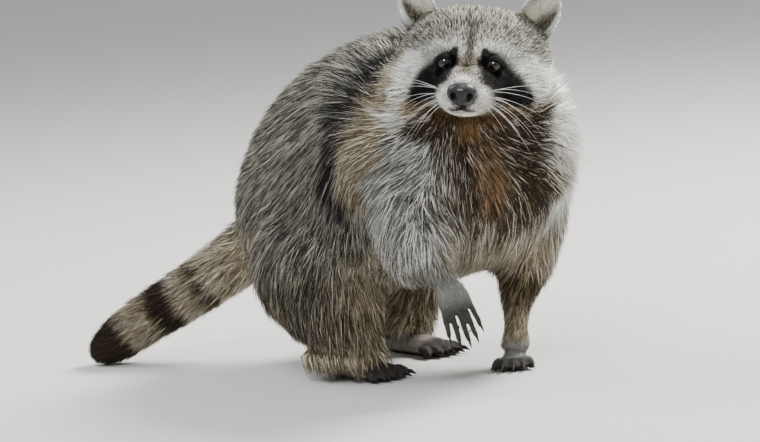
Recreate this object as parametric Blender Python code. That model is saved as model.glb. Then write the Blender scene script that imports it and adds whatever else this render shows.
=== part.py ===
"""A life-size raccoon at a standstill: three feet down, the right forepaw lifted, head turned to its right.

The solids are the animal's outer form, out to the tips of its coat. +X is forward along the back, +Y is the
animal's left and +Z is up; lengths are in metres. Soft forms are lofted along named lines, melted into one
body, and that body is parted with thin cuts into the pieces that a person would name.
"""
import math

import bmesh
import bpy
from mathutils import Matrix, Vector

# Driving sizes
GAP = 0.0003  # the thin cut between neighbouring solids
# How finely each part is melted together, how many passes smooth it, and how many triangles it keeps
BODY_VOXEL, BODY_ROUNDS, BODY_FACES = 0.0055, 12, 1540
HEAD_VOXEL, HEAD_ROUNDS, HEAD_FACES = 0.0028, 46, 1100
PAW_ROUNDS = 2
PAW_VOXEL = {"forepaw": 0.0015, "hindfoot": 0.0015, "hand": 0.0009}
PAW_FACES = {"forepaw": 230, "hindfoot": 230, "hand": 460}

# The head's own frame: origin midway between the eyes, then forward along the nose, left, and up
HEAD_AT = Vector((0.0962, -0.0656, 0.2665))
HEAD_TURN = math.radians(-47.5)
HEAD_ROLL = math.radians(7.5)
EYE_SPREAD = 0.0198
EYE_RADIUS = 0.0080
ORBIT_AT = (0.004, 0.0218, 0.0005)
ORBIT_REACH, ORBIT_DEPTH = 0.0150, 0.0080
MOUTH_FRONT, MOUTH_STEP, MOUTH_STEPS = Vector((0.047, 0.008, -0.032)), Vector((-0.008, 0.0035, 0.0)), 5
MOUTH_CENTRE = (0.030, 0.0, -0.030)
MOUTH_REACH, MOUTH_DEPTH = 0.0050, 0.0011
NOSE_AT = Vector((0.0530, 0.0, -0.0195))
NOSE_SIZE = (0.0088, 0.0116, 0.0088)
NOSE_SQUARE, NOSE_TAPER = 0.12, 0.22
NOSTRIL_AT = Vector((0.0075, 0.0052, -0.0015))
NOSTRIL_REACH, NOSTRIL_DEPTH = 0.0036, 0.0026
EAR_AT = Vector((-0.052, 0.050, 0.036))
EAR_SIZE = (0.0110, 0.0165, 0.0275)
EAR_WALL = 0.0040
EAR_TAPER = (0.10, 0.18)
EAR_TURN, EAR_LEAN = math.radians(16.0), math.radians(27.0)

# Trunk and neck lines: x, y, z, half width, half height
TRUNK = (
    (-0.270, 0.000, 0.130, 0.018, 0.018),
    (-0.260, 0.000, 0.129, 0.036, 0.034),
    (-0.245, 0.000, 0.130, 0.053, 0.048),
    (-0.220, 0.000, 0.134, 0.070, 0.062),
    (-0.185, 0.000, 0.145, 0.087, 0.081),
    (-0.145, 0.000, 0.160, 0.098, 0.099),
    (-0.100, -0.002, 0.174, 0.106, 0.107),
    (-0.050, -0.005, 0.183, 0.111, 0.111),
    (-0.005, -0.009, 0.188, 0.111, 0.106),
    (0.035, -0.014, 0.191, 0.101, 0.093),
    (0.068, -0.022, 0.192, 0.076, 0.070),
    (0.086, -0.028, 0.193, 0.034, 0.034),
)
NECK = (
    (-0.060, -0.006, 0.196, 0.092, 0.088),
    (-0.015, -0.008, 0.220, 0.092, 0.078),
    (0.025, -0.016, 0.238, 0.088, 0.068),
    (0.060, -0.034, 0.250, 0.076, 0.056),
)
# Head sections, in the head's frame: forward, half width, crown, jaw, and the height of the widest line
HEAD = (
    (0.0560, 0.0100, -0.0150, -0.0290, -0.0220),
    (0.0500, 0.0155, -0.0105, -0.0345, -0.0225),
    (0.0400, 0.0210, -0.0055, -0.0380, -0.0225),
    (0.0280, 0.0240, -0.0005, -0.0395, -0.0215),
    (0.0160, 0.0270, 0.0050, -0.0405, -0.0200),
    (0.0060, 0.0340, 0.0105, -0.0430, -0.0190),
    (-0.0040, 0.0440, 0.0200, -0.0470, -0.0200),
    (-0.0160, 0.0570, 0.0320, -0.0530, -0.0230),
    (-0.0300, 0.0670, 0.0420, -0.0600, -0.0270),
    (-0.0460, 0.0730, 0.0470, -0.0650, -0.0300),
    (-0.0640, 0.0750, 0.0470, -0.0680, -0.0300),
    (-0.0840, 0.0710, 0.0420, -0.0660, -0.0260),
    (-0.1050, 0.0590, 0.0330, -0.0580, -0.0200),
    (-0.1200, 0.0350, 0.0180, -0.0400, -0.0140),
)
# Tail line, root to tip, and where its lengths are parted, as shares of it
TAIL = (
    (-0.215, 0.014, 0.130, 0.0350, 0.0350),
    (-0.262, -0.009, 0.105, 0.0315, 0.0315),
    (-0.292, -0.030, 0.082, 0.0295, 0.0295),
    (-0.314, -0.046, 0.066, 0.0280, 0.0280),
    (-0.336, -0.062, 0.052, 0.0265, 0.0265),
    (-0.356, -0.077, 0.039, 0.0250, 0.0250),
    (-0.376, -0.091, 0.0235, 0.0225, 0.0225),
    (-0.391, -0.102, 0.0135, 0.0180, 0.0180),
    (-0.400, -0.108, 0.0095, 0.0095, 0.0095),
)
TAIL_CUTS = (0.27, 0.52, 0.76)
# Limb lines, top to bottom: x, y, z, half width across, half depth fore and aft
LIMBS = {
    "hindleg_right": (
        (-0.145, -0.040, 0.145, 0.045, 0.050),
        (-0.128, -0.062, 0.100, 0.053, 0.070),
        (-0.102, -0.066, 0.067, 0.045, 0.058),
        (-0.098, -0.061, 0.041, 0.036, 0.049),
        (-0.098, -0.056, 0.016, 0.029, 0.038),
    ),
    "hindleg_left": (
        (-0.170, 0.038, 0.145, 0.042, 0.045),
        (-0.165, 0.062, 0.105, 0.046, 0.058),
        (-0.158, 0.066, 0.068, 0.036, 0.046),
        (-0.163, 0.062, 0.042, 0.029, 0.035),
        (-0.168, 0.057, 0.016, 0.022, 0.027),
    ),
    "foreleg_left": (
        (0.010, 0.050, 0.175, 0.050, 0.055),
        (0.004, 0.062, 0.125, 0.042, 0.046),
        (0.002, 0.058, 0.085, 0.029, 0.031),
        (0.001, 0.048, 0.050, 0.0180, 0.0190),
        (0.002, 0.042, 0.014, 0.0120, 0.0120),
    ),
    "foreleg_right": (
        (0.018, -0.066, 0.165, 0.042, 0.046),
        (0.026, -0.084, 0.135, 0.036, 0.041),
        (0.042, -0.087, 0.117, 0.026, 0.028),
        (0.055, -0.084, 0.104, 0.0165, 0.0165),
        (0.063, -0.079, 0.092, 0.0105, 0.0105),
    ),
}
# Where each limb is parted from the trunk: a form round the limb that stands clear of it outside
PARTINGS = {
    "hindleg_right": (
        (-0.150, -0.118, 0.168, 0.036, 0.040),
        (-0.140, -0.112, 0.138, 0.066, 0.070),
        (-0.115, -0.100, 0.095, 0.083, 0.082),
        (-0.098, -0.082, 0.050, 0.068, 0.074),
        (-0.096, -0.072, -0.010, 0.060, 0.066),
    ),
    "hindleg_left": (
        (-0.200, 0.118, 0.168, 0.036, 0.040),
        (-0.194, 0.112, 0.138, 0.066, 0.066),
        (-0.172, 0.100, 0.095, 0.082, 0.070),
        (-0.164, 0.082, 0.050, 0.064, 0.060),
        (-0.168, 0.070, -0.010, 0.056, 0.056),
    ),
    "foreleg_left": (
        (0.015, 0.112, 0.192, 0.036, 0.032),
        (0.012, 0.108, 0.160, 0.060, 0.058),
        (0.004, 0.088, 0.095, 0.070, 0.062),
        (0.002, 0.062, 0.045, 0.058, 0.056),
        (0.002, 0.050, -0.010, 0.050, 0.050),
    ),
    "foreleg_right": (
        (0.018, -0.145, 0.186, 0.040, 0.034),
        (0.022, -0.138, 0.155, 0.066, 0.058),
        (0.044, -0.110, 0.100, 0.062, 0.052),
        (0.078, -0.090, 0.068, 0.056, 0.050),
    ),
}
# How far down a limb's line, as shares, it is parted at the knee or elbow and at a free wrist
KNEE_SHARE = {"hindleg_right": 0.50, "hindleg_left": 0.50, "foreleg_left": 0.42, "foreleg_right": 0.45}
WRIST_SHARE = 0.86
LENGTH_NAMES = {"hindleg": ("thigh", "shank"), "foreleg": ("upper_arm", "forearm")}
PAW_LIMBS = {"hindfoot": "hindleg", "forepaw": "foreleg"}
TAIL_CLEAR = 0.022  # how far the form that takes the tail off stands clear of it
FORE, HIND, HAND = "forepaw", "hindfoot", "hand"
# The palm or sole from its heel forwards: shares of its back part and its length, toe radii beyond its front,
# lift as a share of its half height, and shares of its half width and half height.
SOLE_PROFILE = (
    (1.0, 0.0, 0.0, 0.07, 0.50, 0.75),
    (0.4, 0.0, 0.0, 0.14, 0.78, 1.10),
    (0.0, 0.55, 0.0, 0.0, 0.95, 1.0),
    (0.0, 1.0, 0.0, -0.15, 1.0, 0.85),
    (0.0, 1.0, 1.8, -0.30, 0.80, 0.62),
)
# Sizes of the palm or sole
PALMS = {
    FORE: {"back": 0.012, "length": 0.016, "half_width": 0.0125, "half_height": 0.0070},
    HIND: {"back": 0.012, "length": 0.050, "half_width": 0.0150, "half_height": 0.0095},
    HAND: {"back": 0.010, "length": 0.023, "half_width": 0.0128, "half_height": 0.0058},
}
TOES = {
    FORE: {"length": 0.0200, "radius": 0.0040, "arch": 0.0026},
    HIND: {"length": 0.0220, "radius": 0.0046, "arch": 0.0022},
    HAND: {"length": 0.0330, "radius": 0.0018, "arch": 0.0018},
}
TOE_FAN = (-26.0, -13.0, 0.0, 12.0, 25.0)
TOE_SHARES = (0.76, 0.96, 1.0, 0.95, 0.74)
TOE_ROOT_SPREAD, TOE_OVERLAP = 0.80, 0.004
# Down a toe, and then down a claw: share of the length, rise in arches or drop in metres, and thickness
TOE_PROFILE = ((0.0, 1.0, 0.95), (0.45, 1.6, 1.0), (0.80, 0.6, 0.92), (1.0, 0.1, 0.62))
CLAW_PROFILE = ((-0.10, 0.0, 0.90), (0.45, 0.0002, 0.86), (1.0, 0.0024, 0.16))
CLAW_INSET, CLAW_RISE, CLAW_SLIM = 0.002, 0.0004, 0.8
CLAW_LENGTH = {FORE: 0.0085, HIND: 0.0085, HAND: 0.0055}
CLAW_RADIUS = {FORE: 0.0021, HIND: 0.0021, HAND: 0.0013}
# Each paw: its kind, the place it is drawn from, its turn, pitch and roll in degrees, and its toes' spread
PAWS = {
    "hindfoot_right": (HIND, Vector((-0.112, -0.053, 0.0)), (0.0, 0.0, 0.0), 0.8),
    "hindfoot_left": (HIND, Vector((-0.163, 0.056, 0.0)), (-3.0, 0.0, 0.0), 0.8),
    "forepaw_left": (FORE, Vector((0.002, 0.041, 0.0)), (-45.0, 0.0, 0.0), 0.7),
    "forepaw_right": (HAND, Vector((0.062, -0.080, 0.094)), (0.0, 66.0, -35.0), 0.26),
}
ANKLE_HEIGHT = {"hindfoot_right": 0.026, "hindfoot_left": 0.026, "forepaw_left": 0.030}
SOLE_SINK = 0.0015  # how far soles reach under the floor before they are cut flat
FLOOR = (Vector((0.0, 0.0, -GAP / 2)), Vector((0.0, 0.0, 1.0)))

# The cuts across the neck: a point and the way it faces
NECK_CUT = (Vector((0.040, -0.020, 0.245)), Vector((0.39, -0.46, 0.80)))
HEAD_CUT_BACK = 0.078  # behind the eyes, in the head's frame
HEAD_CUT_FACING = Vector((1.0, 0.0, 0.35))
WAIST_CUT = (Vector((-0.120, 0.0, 0.170)), Vector((1.0, 0.0, 0.0)))
# Colour and roughness of each kind of piece, as it looks with its coat
FINISHES = {
    "head": ((0.42, 0.39, 0.34), 0.85),
    "neck": ((0.40, 0.36, 0.30), 0.85),
    "trunk": ((0.30, 0.28, 0.25), 0.85),
    "thigh": ((0.28, 0.26, 0.23), 0.85),
    "shank": ((0.26, 0.24, 0.21), 0.85),
    "upper_arm": ((0.33, 0.31, 0.27), 0.85),
    "forearm": ((0.30, 0.28, 0.24), 0.85),
    "tail": ((0.36, 0.30, 0.20), 0.85),
    "ear": ((0.55, 0.52, 0.45), 0.80),
    "eye": ((0.02, 0.015, 0.01), 0.10),
    "nose": ((0.025, 0.025, 0.028), 0.25),
    "claw": ((0.06, 0.055, 0.05), 0.40),
    "hindfoot": ((0.16, 0.16, 0.16), 0.80),
    "forepaw": ((0.20, 0.21, 0.20), 0.80),
}


def frame_of(position, turn=0.0, pitch=0.0, roll=0.0):
    """A frame at a place: turned about up, then pitched nose-down, then rolled towards its left side."""
    spin = Matrix.Rotation(turn, 4, "Z") @ Matrix.Rotation(pitch, 4, "Y") @ Matrix.Rotation(-roll, 4, "X")
    return Matrix.Translation(position) @ spin


HEAD_FRAME = frame_of(HEAD_AT, HEAD_TURN, 0.0, HEAD_ROLL)
BACKWARD = HEAD_FRAME.to_3x3() @ Vector((-1.0, 0.0, 0.0))


def finish(bm, name):
    """Turns a bmesh into an object in the scene, in triangles that face outwards."""
    bmesh.ops.recalc_face_normals(bm, faces=bm.faces)
    bmesh.ops.triangulate(bm, faces=bm.faces)
    mesh = bpy.data.meshes.new(name)
    bm.to_mesh(mesh)
    bm.free()
    made = bpy.data.objects.new(name, mesh)
    bpy.context.scene.collection.objects.link(made)
    return made


def settle(thing):
    """Applies an object's modifiers and gives the object back."""
    bpy.context.view_layer.update()
    graph = bpy.context.evaluated_depsgraph_get()
    mesh = bpy.data.meshes.new_from_object(thing.evaluated_get(graph))
    thing.modifiers.clear()
    thing.data = mesh
    return thing


def discard(*things):
    for thing in things:
        bpy.data.objects.remove(thing)


def copy_of(thing, name):
    twin = bpy.data.objects.new(name, thing.data.copy())
    bpy.context.scene.collection.objects.link(twin)
    return twin


def eased(stations, steps=3):
    """The stations with points of a smooth curve put between them."""
    rows = [Vector(row) for row in stations]
    rows = [2 * rows[0] - rows[1], *rows, 2 * rows[-1] - rows[-2]]
    found = []
    for before, start, end, after in zip(rows, rows[1:], rows[2:], rows[3:]):
        for step in range(steps):
            t = step / steps
            line = 2 * start + (end - before) * t
            bend = (2 * before - 5 * start + 4 * end - after) * t**2
            twist = (3 * start - before - 3 * end + after) * t**3
            found.append(0.5 * (line + bend + twist))
    return [*found, rows[-2]]


def lofted(name, places, sides):
    """A closed form through a row of rings; each place moves a point of the unit circle to its ring."""
    bm = bmesh.new()
    rings = []
    for place in places:
        verts = bmesh.ops.create_circle(bm, cap_ends=False, segments=sides, radius=1.0)["verts"]
        for vert in verts:
            vert.co = place(vert.co.copy())
        rings.append(list({edge for vert in verts for edge in vert.link_edges}))
    for ring, following in zip(rings, rings[1:]):
        bmesh.ops.bridge_loops(bm, edges=[*ring, *following])
    for end in (rings[0], rings[-1]):
        bmesh.ops.contextual_create(bm, geom=end)
    return finish(bm, name)


def oval_places(stations, across, steps=3):
    """Rings of oval sections square to a line, with their width along the direction named across."""
    rows = eased(stations, steps)
    places = []
    for index, row in enumerate(rows):
        ahead, behind = rows[min(index + 1, len(rows) - 1)], rows[max(index - 1, 0)]
        along = (Vector(ahead[:3]) - Vector(behind[:3])).normalized()
        other = along.cross(across).normalized()
        side = other.cross(along).normalized()
        centre, half, depth = Vector(row[:3]), row[3], row[4]
        places.append(lambda p, c=centre, s=side * half, o=other * depth: c + s * p.x + o * p.y)
    return places


def limb_form(name, stations, across=(0.0, 1.0, 0.0), sides=24, steps=3):
    return lofted(name, oval_places(stations, Vector(across), steps), sides)


def head_form(name):
    """The head from the muzzle back to the nape, as sections with a crown, a jaw and a widest line."""
    places = []
    for forward, half, crown, jaw, waist in eased(HEAD):

        def place(p, forward=forward, half=half, crown=crown, jaw=jaw, waist=waist):
            reach = crown - waist if p.y > 0 else waist - jaw
            return HEAD_FRAME @ Vector((forward, half * p.x, waist + reach * p.y))

        places.append(place)
    return lofted(name, places, 36)


def ball(name, segments, rings, radius=1.0, centre=(0.0, 0.0, 0.0)):
    bm = bmesh.new()
    place = Matrix.Translation(centre)
    bmesh.ops.create_uvsphere(bm, u_segments=segments, v_segments=rings, radius=radius, matrix=place)
    return finish(bm, name)


def melt(name, forms, voxel, rounds, share=None):
    """Several overlapping forms as one closed body, blended where share says so, from 0 to 1."""
    bm = bmesh.new()
    for form in forms:
        bm.from_mesh(form.data)
    body = finish(bm, name)
    remesh = body.modifiers.new("melt", "REMESH")
    remesh.mode, remesh.voxel_size = "VOXEL", voxel
    settle(body)
    soften = body.modifiers.new("soften", "SMOOTH")
    soften.factor, soften.iterations = 0.5, rounds
    if share:
        group = body.vertex_groups.new(name="blend")
        for vert in body.data.vertices:
            group.add([vert.index], min(1.0, max(0.0, share(vert.co))), "REPLACE")
        soften.vertex_group = group.name
    settle(body)
    body.vertex_groups.clear()
    return body


def head_share(place):
    """The muzzle and brows keep their form, and the back of the head flows into the neck."""
    return 0.10 + (-0.010 - (HEAD_FRAME.inverted() @ place).x) / 0.050


def body_share(place):
    """As for the head, and the slim ends of the legs are blended least."""
    return min(head_share(place), (place.z - 0.012) / 0.075)


def thin_out(thing, faces):
    """Fewer triangles, most of them where the form bends most."""
    count = sum(len(face.vertices) - 2 for face in thing.data.polygons)
    lighten = thing.modifiers.new("lighten", "DECIMATE")
    lighten.ratio = min(1.0, faces / count)
    return settle(thing)


def cut(thing, cutter, operation):
    trim = thing.modifiers.new("trim", "BOOLEAN")
    trim.operation, trim.object, trim.solver = operation, cutter, "EXACT"
    return settle(thing)


def seat(thing, neighbour):
    """Cuts a form, grown outwards by the cut's width, out of its neighbour."""
    twin = copy_of(thing, thing.name + "_grown")
    grow = twin.modifiers.new("grow", "DISPLACE")
    grow.strength, grow.mid_level = GAP, 0.0
    cut(neighbour, settle(twin), "DIFFERENCE")
    discard(twin)


def sliced(thing, name, at, facing, front):
    """The part of a body in front of a plane, or behind it, with half the cut's width left off."""
    facing = facing.normalized()
    bm = bmesh.new()
    bm.from_mesh(thing.data)
    bmesh.ops.bisect_plane(
        bm,
        geom=[*bm.verts, *bm.edges, *bm.faces],
        plane_co=at + facing * (GAP / 2 if front else -GAP / 2),
        plane_no=facing,
        clear_inner=front,
        clear_outer=not front,
    )
    bmesh.ops.holes_fill(bm, edges=[edge for edge in bm.edges if edge.is_boundary])
    return finish(bm, name)


def dent(thing, centre, reach, push):
    """Pushes the surface near a point, most at the point itself and not at all at its reach."""
    for vert in thing.data.vertices:
        share = (vert.co - centre).length / reach
        if share < 1.0:
            vert.co += push * (1.0 - share**2) ** 2


def parted(thing, name, region):
    """Takes the part of a body inside a region off as a node of its own, and leaves the rest."""
    piece = cut(copy_of(thing, name), region, "INTERSECT")
    seat(region, thing)
    discard(region)
    return piece


def in_head(place, side=1.0):
    """A place in the head's frame, mirrored to the right for a side of -1, as a place in the world."""
    return HEAD_FRAME @ Vector((place[0], place[1] * side, place[2]))


def carve_face(head):
    """Orbits under the brows, and the line of the mouth."""
    for side in (1.0, -1.0):
        dent(head, in_head(ORBIT_AT, side), ORBIT_REACH, BACKWARD * ORBIT_DEPTH)
        for step in range(MOUTH_STEPS):
            place = in_head(MOUTH_FRONT + MOUTH_STEP * step, side)
            inward = (in_head(MOUTH_CENTRE) - place).normalized()
            dent(head, place, MOUTH_REACH, inward * MOUTH_DEPTH)


def eye_form(name, side):
    return ball(name, 14, 8, EYE_RADIUS, in_head((0.0, EYE_SPREAD, 0.0), side))


def nose_form():
    """The nose pad: a block with rounded corners and two nostrils, narrower below."""
    nose = ball("nose", 16, 10)
    for vert in nose.data.vertices:
        x, y, z = vert.co * (1.0 + NOSE_SQUARE * abs(vert.co.y * vert.co.z))
        narrow = 1.0 - NOSE_TAPER * max(0.0, -z)
        vert.co = NOSE_AT + Vector((x * NOSE_SIZE[0], y * NOSE_SIZE[1] * narrow, z * NOSE_SIZE[2]))
    nose.data.transform(HEAD_FRAME)
    for side in (1.0, -1.0):
        dent(nose, in_head(NOSE_AT + NOSTRIL_AT, side), NOSTRIL_REACH, BACKWARD * NOSTRIL_DEPTH)
    return nose


def ear_form(name, side):
    """A rounded cup with a thick rim, open forwards and outwards."""
    depth, half, height = EAR_SIZE
    place = frame_of(EAR_AT, EAR_TURN, 0.0, EAR_LEAN)
    ear = ball(name, 16, 10)
    for vert in ear.data.vertices:
        x, y, z = vert.co
        above = max(0.0, z)
        narrow = 1.0 - EAR_TAPER[0] * above - EAR_TAPER[1] * above**2
        cup = EAR_WALL / 2 * max(-1.0, min(1.0, x * 4.0)) - abs(x) * depth
        vert.co = in_head(place @ Vector((cup, y * half * narrow, z * height)), side)
    if side < 0:
        ear.data.flip_normals()
    return ear


def paw_parts(name, kind, place, turns, spread):
    """The palm and toes of a paw as forms to melt, and its claws."""
    frame = frame_of(place, *(math.radians(turn) for turn in turns))
    palm, toe = PALMS[kind], TOES[kind]
    length, half, height = palm["length"], palm["half_width"], palm["half_height"]
    level = height - SOLE_SINK
    across = frame.to_3x3() @ Vector((0.0, 1.0, 0.0))

    def row(x, y, z, wide, deep):
        return (*(frame @ Vector((x, y, z))), wide, deep)

    sole = []
    for back, ahead, beyond, lift, wide, deep in SOLE_PROFILE:
        x = length * ahead - palm["back"] * back + toe["radius"] * beyond
        sole.append(row(x, 0.0, level + height * lift, half * wide, height * deep))
    forms = [limb_form(name + "_sole", sole, across, 20)]
    claws = []
    radius = toe["radius"]
    rest = radius - SOLE_SINK * 0.6
    for index, (fan, share) in enumerate(zip(TOE_FAN, TOE_SHARES)):
        angle = math.radians(fan) * spread
        ahead, aside = math.cos(angle), math.sin(angle)
        root = Vector((length - TOE_OVERLAP, half * TOE_ROOT_SPREAD * fan / TOE_FAN[-1]))

        def along(distance):
            return root.x + ahead * distance, root.y + aside * distance

        reach = toe["length"] * share + TOE_OVERLAP
        rows = []
        for part, lift, thick in TOE_PROFILE:
            rows.append(row(*along(reach * part), rest + toe["arch"] * lift, radius * thick, radius * thick))
        forms.append(limb_form(f"{name}_toe_{index}", rows, across, 10))
        rows = []
        for part, drop, thick in CLAW_PROFILE:
            place = along(reach + CLAW_LENGTH[kind] * part - CLAW_INSET)
            rise = rest + toe["arch"] / 2 + CLAW_RISE - drop
            deep = CLAW_RADIUS[kind] * thick
            rows.append(row(*place, rise, deep * CLAW_SLIM, deep))
        claws.append(limb_form(f"claw_{name}_{index + 1}", rows, across, 6, 1))
    return forms, claws


def along_line(stations, share):
    """A point on a limb's line and the way the line runs there."""
    rows = eased(stations)
    place = share * (len(rows) - 1)
    index = min(int(place), len(rows) - 2)
    start, end = Vector(rows[index][:3]), Vector(rows[index + 1][:3])
    return start.lerp(end, place - index), (end - start).normalized()


def widened(stations, more):
    """The same line with larger sections."""
    return [(*row[:3], row[3] + more, row[4] + more) for row in stations]


def make_paws(limbs):
    """Each paw with its ankle or wrist, cut flat where it stands, with a seat for every claw."""
    pieces = []
    for name, (kind, *placed) in PAWS.items():
        forms, claws = paw_parts(name, kind, *placed)
        limb = limbs[limb_of(name)]
        whole = melt(name + "_whole", [*forms, limb], PAW_VOXEL[kind], PAW_ROUNDS)
        cuff = thin_out(sliced(whole, name + "_cuff", *ankle_of(name), True), PAW_FACES[kind])
        paw = sliced(cuff, name, *FLOOR, True)
        discard(whole, cuff, *forms)
        for claw in claws:
            seat(claw, paw)
        pieces += [paw, *claws]
    return pieces


def limb_of(paw):
    kind, side = paw.split("_")
    return f"{PAW_LIMBS[kind]}_{side}"


def ankle_of(paw):
    """The plane between a limb and its paw: a point and the way the limb runs through it."""
    if paw in ANKLE_HEIGHT:
        place = PAWS[paw][1].copy()
        place.z = ANKLE_HEIGHT[paw]
        return place, Vector((0.0, 0.0, -1.0))
    return along_line(LIMBS[limb_of(paw)], WRIST_SHARE)


def part_limbs(body):
    """Takes the four legs off the body and parts each at its knee or elbow."""
    pieces = []
    for limb, stations in LIMBS.items():
        region = limb_form(limb + "_region", PARTINGS[limb], sides=16, steps=1)
        whole = parted(body, limb, region)
        paw = next(name for name in PAWS if limb_of(name) == limb)
        leg = sliced(whole, limb + "_leg", *ankle_of(paw), False)
        knee, down = along_line(stations, KNEE_SHARE[limb])
        kind, side = limb.split("_")
        upper, lower = LENGTH_NAMES[kind]
        pieces.append(sliced(leg, f"{upper}_{side}", knee, down, False))
        pieces.append(sliced(leg, f"{lower}_{side}", knee, down, True))
        discard(whole, leg)
    return pieces


def part_tail(body):
    """Takes the tail off the rump and parts it into three lengths."""
    root, down = along_line(TAIL, TAIL_CUTS[0])
    clear = widened(TAIL, TAIL_CLEAR)
    long_region = limb_form("tail_region", [*clear, extended(clear)], sides=16, steps=1)
    region = sliced(long_region, "tail_region_cut", root, down, True)
    tail = parted(body, "tail", region)
    discard(long_region)
    pieces, rest = [], tail
    for name, share in (("tail_root", TAIL_CUTS[1]), ("tail_middle", TAIL_CUTS[2])):
        at, along = along_line(TAIL, share)
        pieces.append(sliced(rest, name, at, along, False))
        following = sliced(rest, name + "_rest", at, along, True)
        discard(rest)
        rest = following
    pieces.append(sliced(rest, "tail_tip", *FLOOR, True))
    discard(rest)
    return pieces


def extended(line):
    """One more section beyond the last, so that a region covers the whole tip."""
    last, before = Vector(line[-1]), Vector(line[-2])
    beyond = last + (last - before) * 1.5
    return (*beyond[:3], line[-1][3], line[-1][4])


def coloured(pieces):
    """Smooth shading and a material of its own for each piece."""
    for piece in pieces:
        colour, roughness = next(FINISHES[kind] for kind in FINISHES if piece.name.startswith(kind))
        material = bpy.data.materials.new(piece.name)
        material.use_nodes = True
        shader = material.node_tree.nodes["Principled BSDF"]
        shader.inputs["Base Color"].default_value = (*colour, 1.0)
        shader.inputs["Roughness"].default_value = roughness
        piece.data.materials.clear()
        piece.data.materials.append(material)
        piece.data.shade_smooth()


def stood(pieces):
    """Parents the pieces to one empty, which puts the middle of their box over the origin."""
    corners = [vert.co for piece in pieces for vert in piece.data.vertices]
    low = Vector([min(corner[i] for corner in corners) for i in range(3)])
    high = Vector([max(corner[i] for corner in corners) for i in range(3)])
    raccoon = bpy.data.objects.new("raccoon", None)
    bpy.context.scene.collection.objects.link(raccoon)
    raccoon.location = (-(low.x + high.x) / 2, -(low.y + high.y) / 2, -low.z)
    for piece in pieces:
        piece.parent = raccoon


def make_head(fine, nape):
    """The head and neck, the ears and eyes beside them, and the nose."""
    back = in_head((-HEAD_CUT_BACK, 0.0, 0.0))
    ahead = HEAD_FRAME.to_3x3() @ HEAD_CUT_FACING
    whole = sliced(fine, "head_whole", back, ahead, True)
    head = sliced(whole, "head", *NECK_CUT, True)
    discard(whole)
    carve_face(head)
    thin_out(head, HEAD_FACES)
    neck = sliced(nape, "neck", back, ahead, False)
    pieces = [head, neck]
    for side, word in ((1.0, "left"), (-1.0, "right")):
        ear = ear_form("ear_" + word, side)
        seat(head, ear)
        seat(neck, ear)
        eye = eye_form("eye_" + word, side)
        seat(eye, head)
        pieces += [ear, eye]
    nose = nose_form()
    seat(nose, head)
    return [*pieces, nose]


def main():
    for thing in list(bpy.data.objects):
        bpy.data.objects.remove(thing)
    limbs = {name: limb_form(name + "_form", line) for name, line in LIMBS.items()}
    trunk = limb_form("trunk_form", TRUNK, sides=32)
    neck = limb_form("neck_form", NECK, sides=32)
    tail = limb_form("tail_form", TAIL)
    skull = head_form("head_form")
    forms = [trunk, neck, tail, skull, *limbs.values()]
    body = thin_out(melt("body", forms, BODY_VOXEL, BODY_ROUNDS, body_share), BODY_FACES)
    fine = melt("fine", [neck, skull, trunk], HEAD_VOXEL, HEAD_ROUNDS, head_share)
    nape = sliced(body, "nape", *NECK_CUT, True)
    barrel = sliced(body, "barrel", *NECK_CUT, False)

    pieces = make_head(fine, nape) + part_tail(barrel) + part_limbs(barrel) + make_paws(limbs)
    pieces.append(sliced(barrel, "trunk_front", *WAIST_CUT, True))
    pieces.append(sliced(barrel, "trunk_rear", *WAIST_CUT, False))
    discard(*set(bpy.data.objects) - set(pieces))
    coloured(pieces)
    stood(pieces)


main()
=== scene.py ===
"""A life-size raccoon: one skin under a coat of mesh tufts, with eyes, lids, nose, lips and whiskers."""

import math

import bmesh
import bpy
import numpy as np
from mathutils import Matrix, Vector
from mathutils.bvhtree import BVHTree
from mathutils.kdtree import KDTree


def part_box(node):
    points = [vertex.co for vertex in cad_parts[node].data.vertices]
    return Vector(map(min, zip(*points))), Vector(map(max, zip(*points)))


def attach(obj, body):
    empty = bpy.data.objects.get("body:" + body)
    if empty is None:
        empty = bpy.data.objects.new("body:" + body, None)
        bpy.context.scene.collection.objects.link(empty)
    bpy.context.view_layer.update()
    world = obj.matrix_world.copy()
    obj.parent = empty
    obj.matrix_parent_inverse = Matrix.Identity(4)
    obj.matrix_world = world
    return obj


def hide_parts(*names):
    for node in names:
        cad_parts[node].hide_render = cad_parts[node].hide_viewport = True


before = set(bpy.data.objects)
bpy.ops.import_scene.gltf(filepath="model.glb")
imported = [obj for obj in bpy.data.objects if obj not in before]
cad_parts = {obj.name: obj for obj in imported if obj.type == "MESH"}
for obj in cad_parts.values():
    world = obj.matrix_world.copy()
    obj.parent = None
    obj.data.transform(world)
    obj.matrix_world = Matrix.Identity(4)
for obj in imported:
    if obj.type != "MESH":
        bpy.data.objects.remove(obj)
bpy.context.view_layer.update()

bl_info = {
    "name": "Raccoon looks",
    "version": (1, 0, 0),
    "blender": (4, 5, 0),
    "location": "3D View > Sidebar > Raccoon",
    "description": "Skin, coat, face and stage of a life-size raccoon",
    "category": "Object",
}

SIDES = {"left": 1.0, "right": -1.0}
FLESH = sorted(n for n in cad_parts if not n.startswith(("eye", "nose", "claw")))
CLAWS = sorted(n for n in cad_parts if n.startswith("claw"))

# How the skin is made from the solids
GROW = 0.0004  # closes the thin cuts between the solids
VOXEL = 0.0014
SOFTEN_ROUNDS = 110
DEPTH_ROUNDS = 40  # evens the coat's depth out over neighbouring points
INSET_STEPS, INSET_ROUNDS = 6, 4
# Under coats shallower than this the skin stays as it is, and over this much more depth it comes to be softened
FIRM_DEPTH, LOOSENED_OVER = 0.0016, 0.006
SKIN_TRIANGLES = 170000
UNDERFUR_SHARE = 0.6  # of the skin's colour; the rest is the hairs' middle
UNWRAP_ANGLE = math.radians(66.0)
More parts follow.
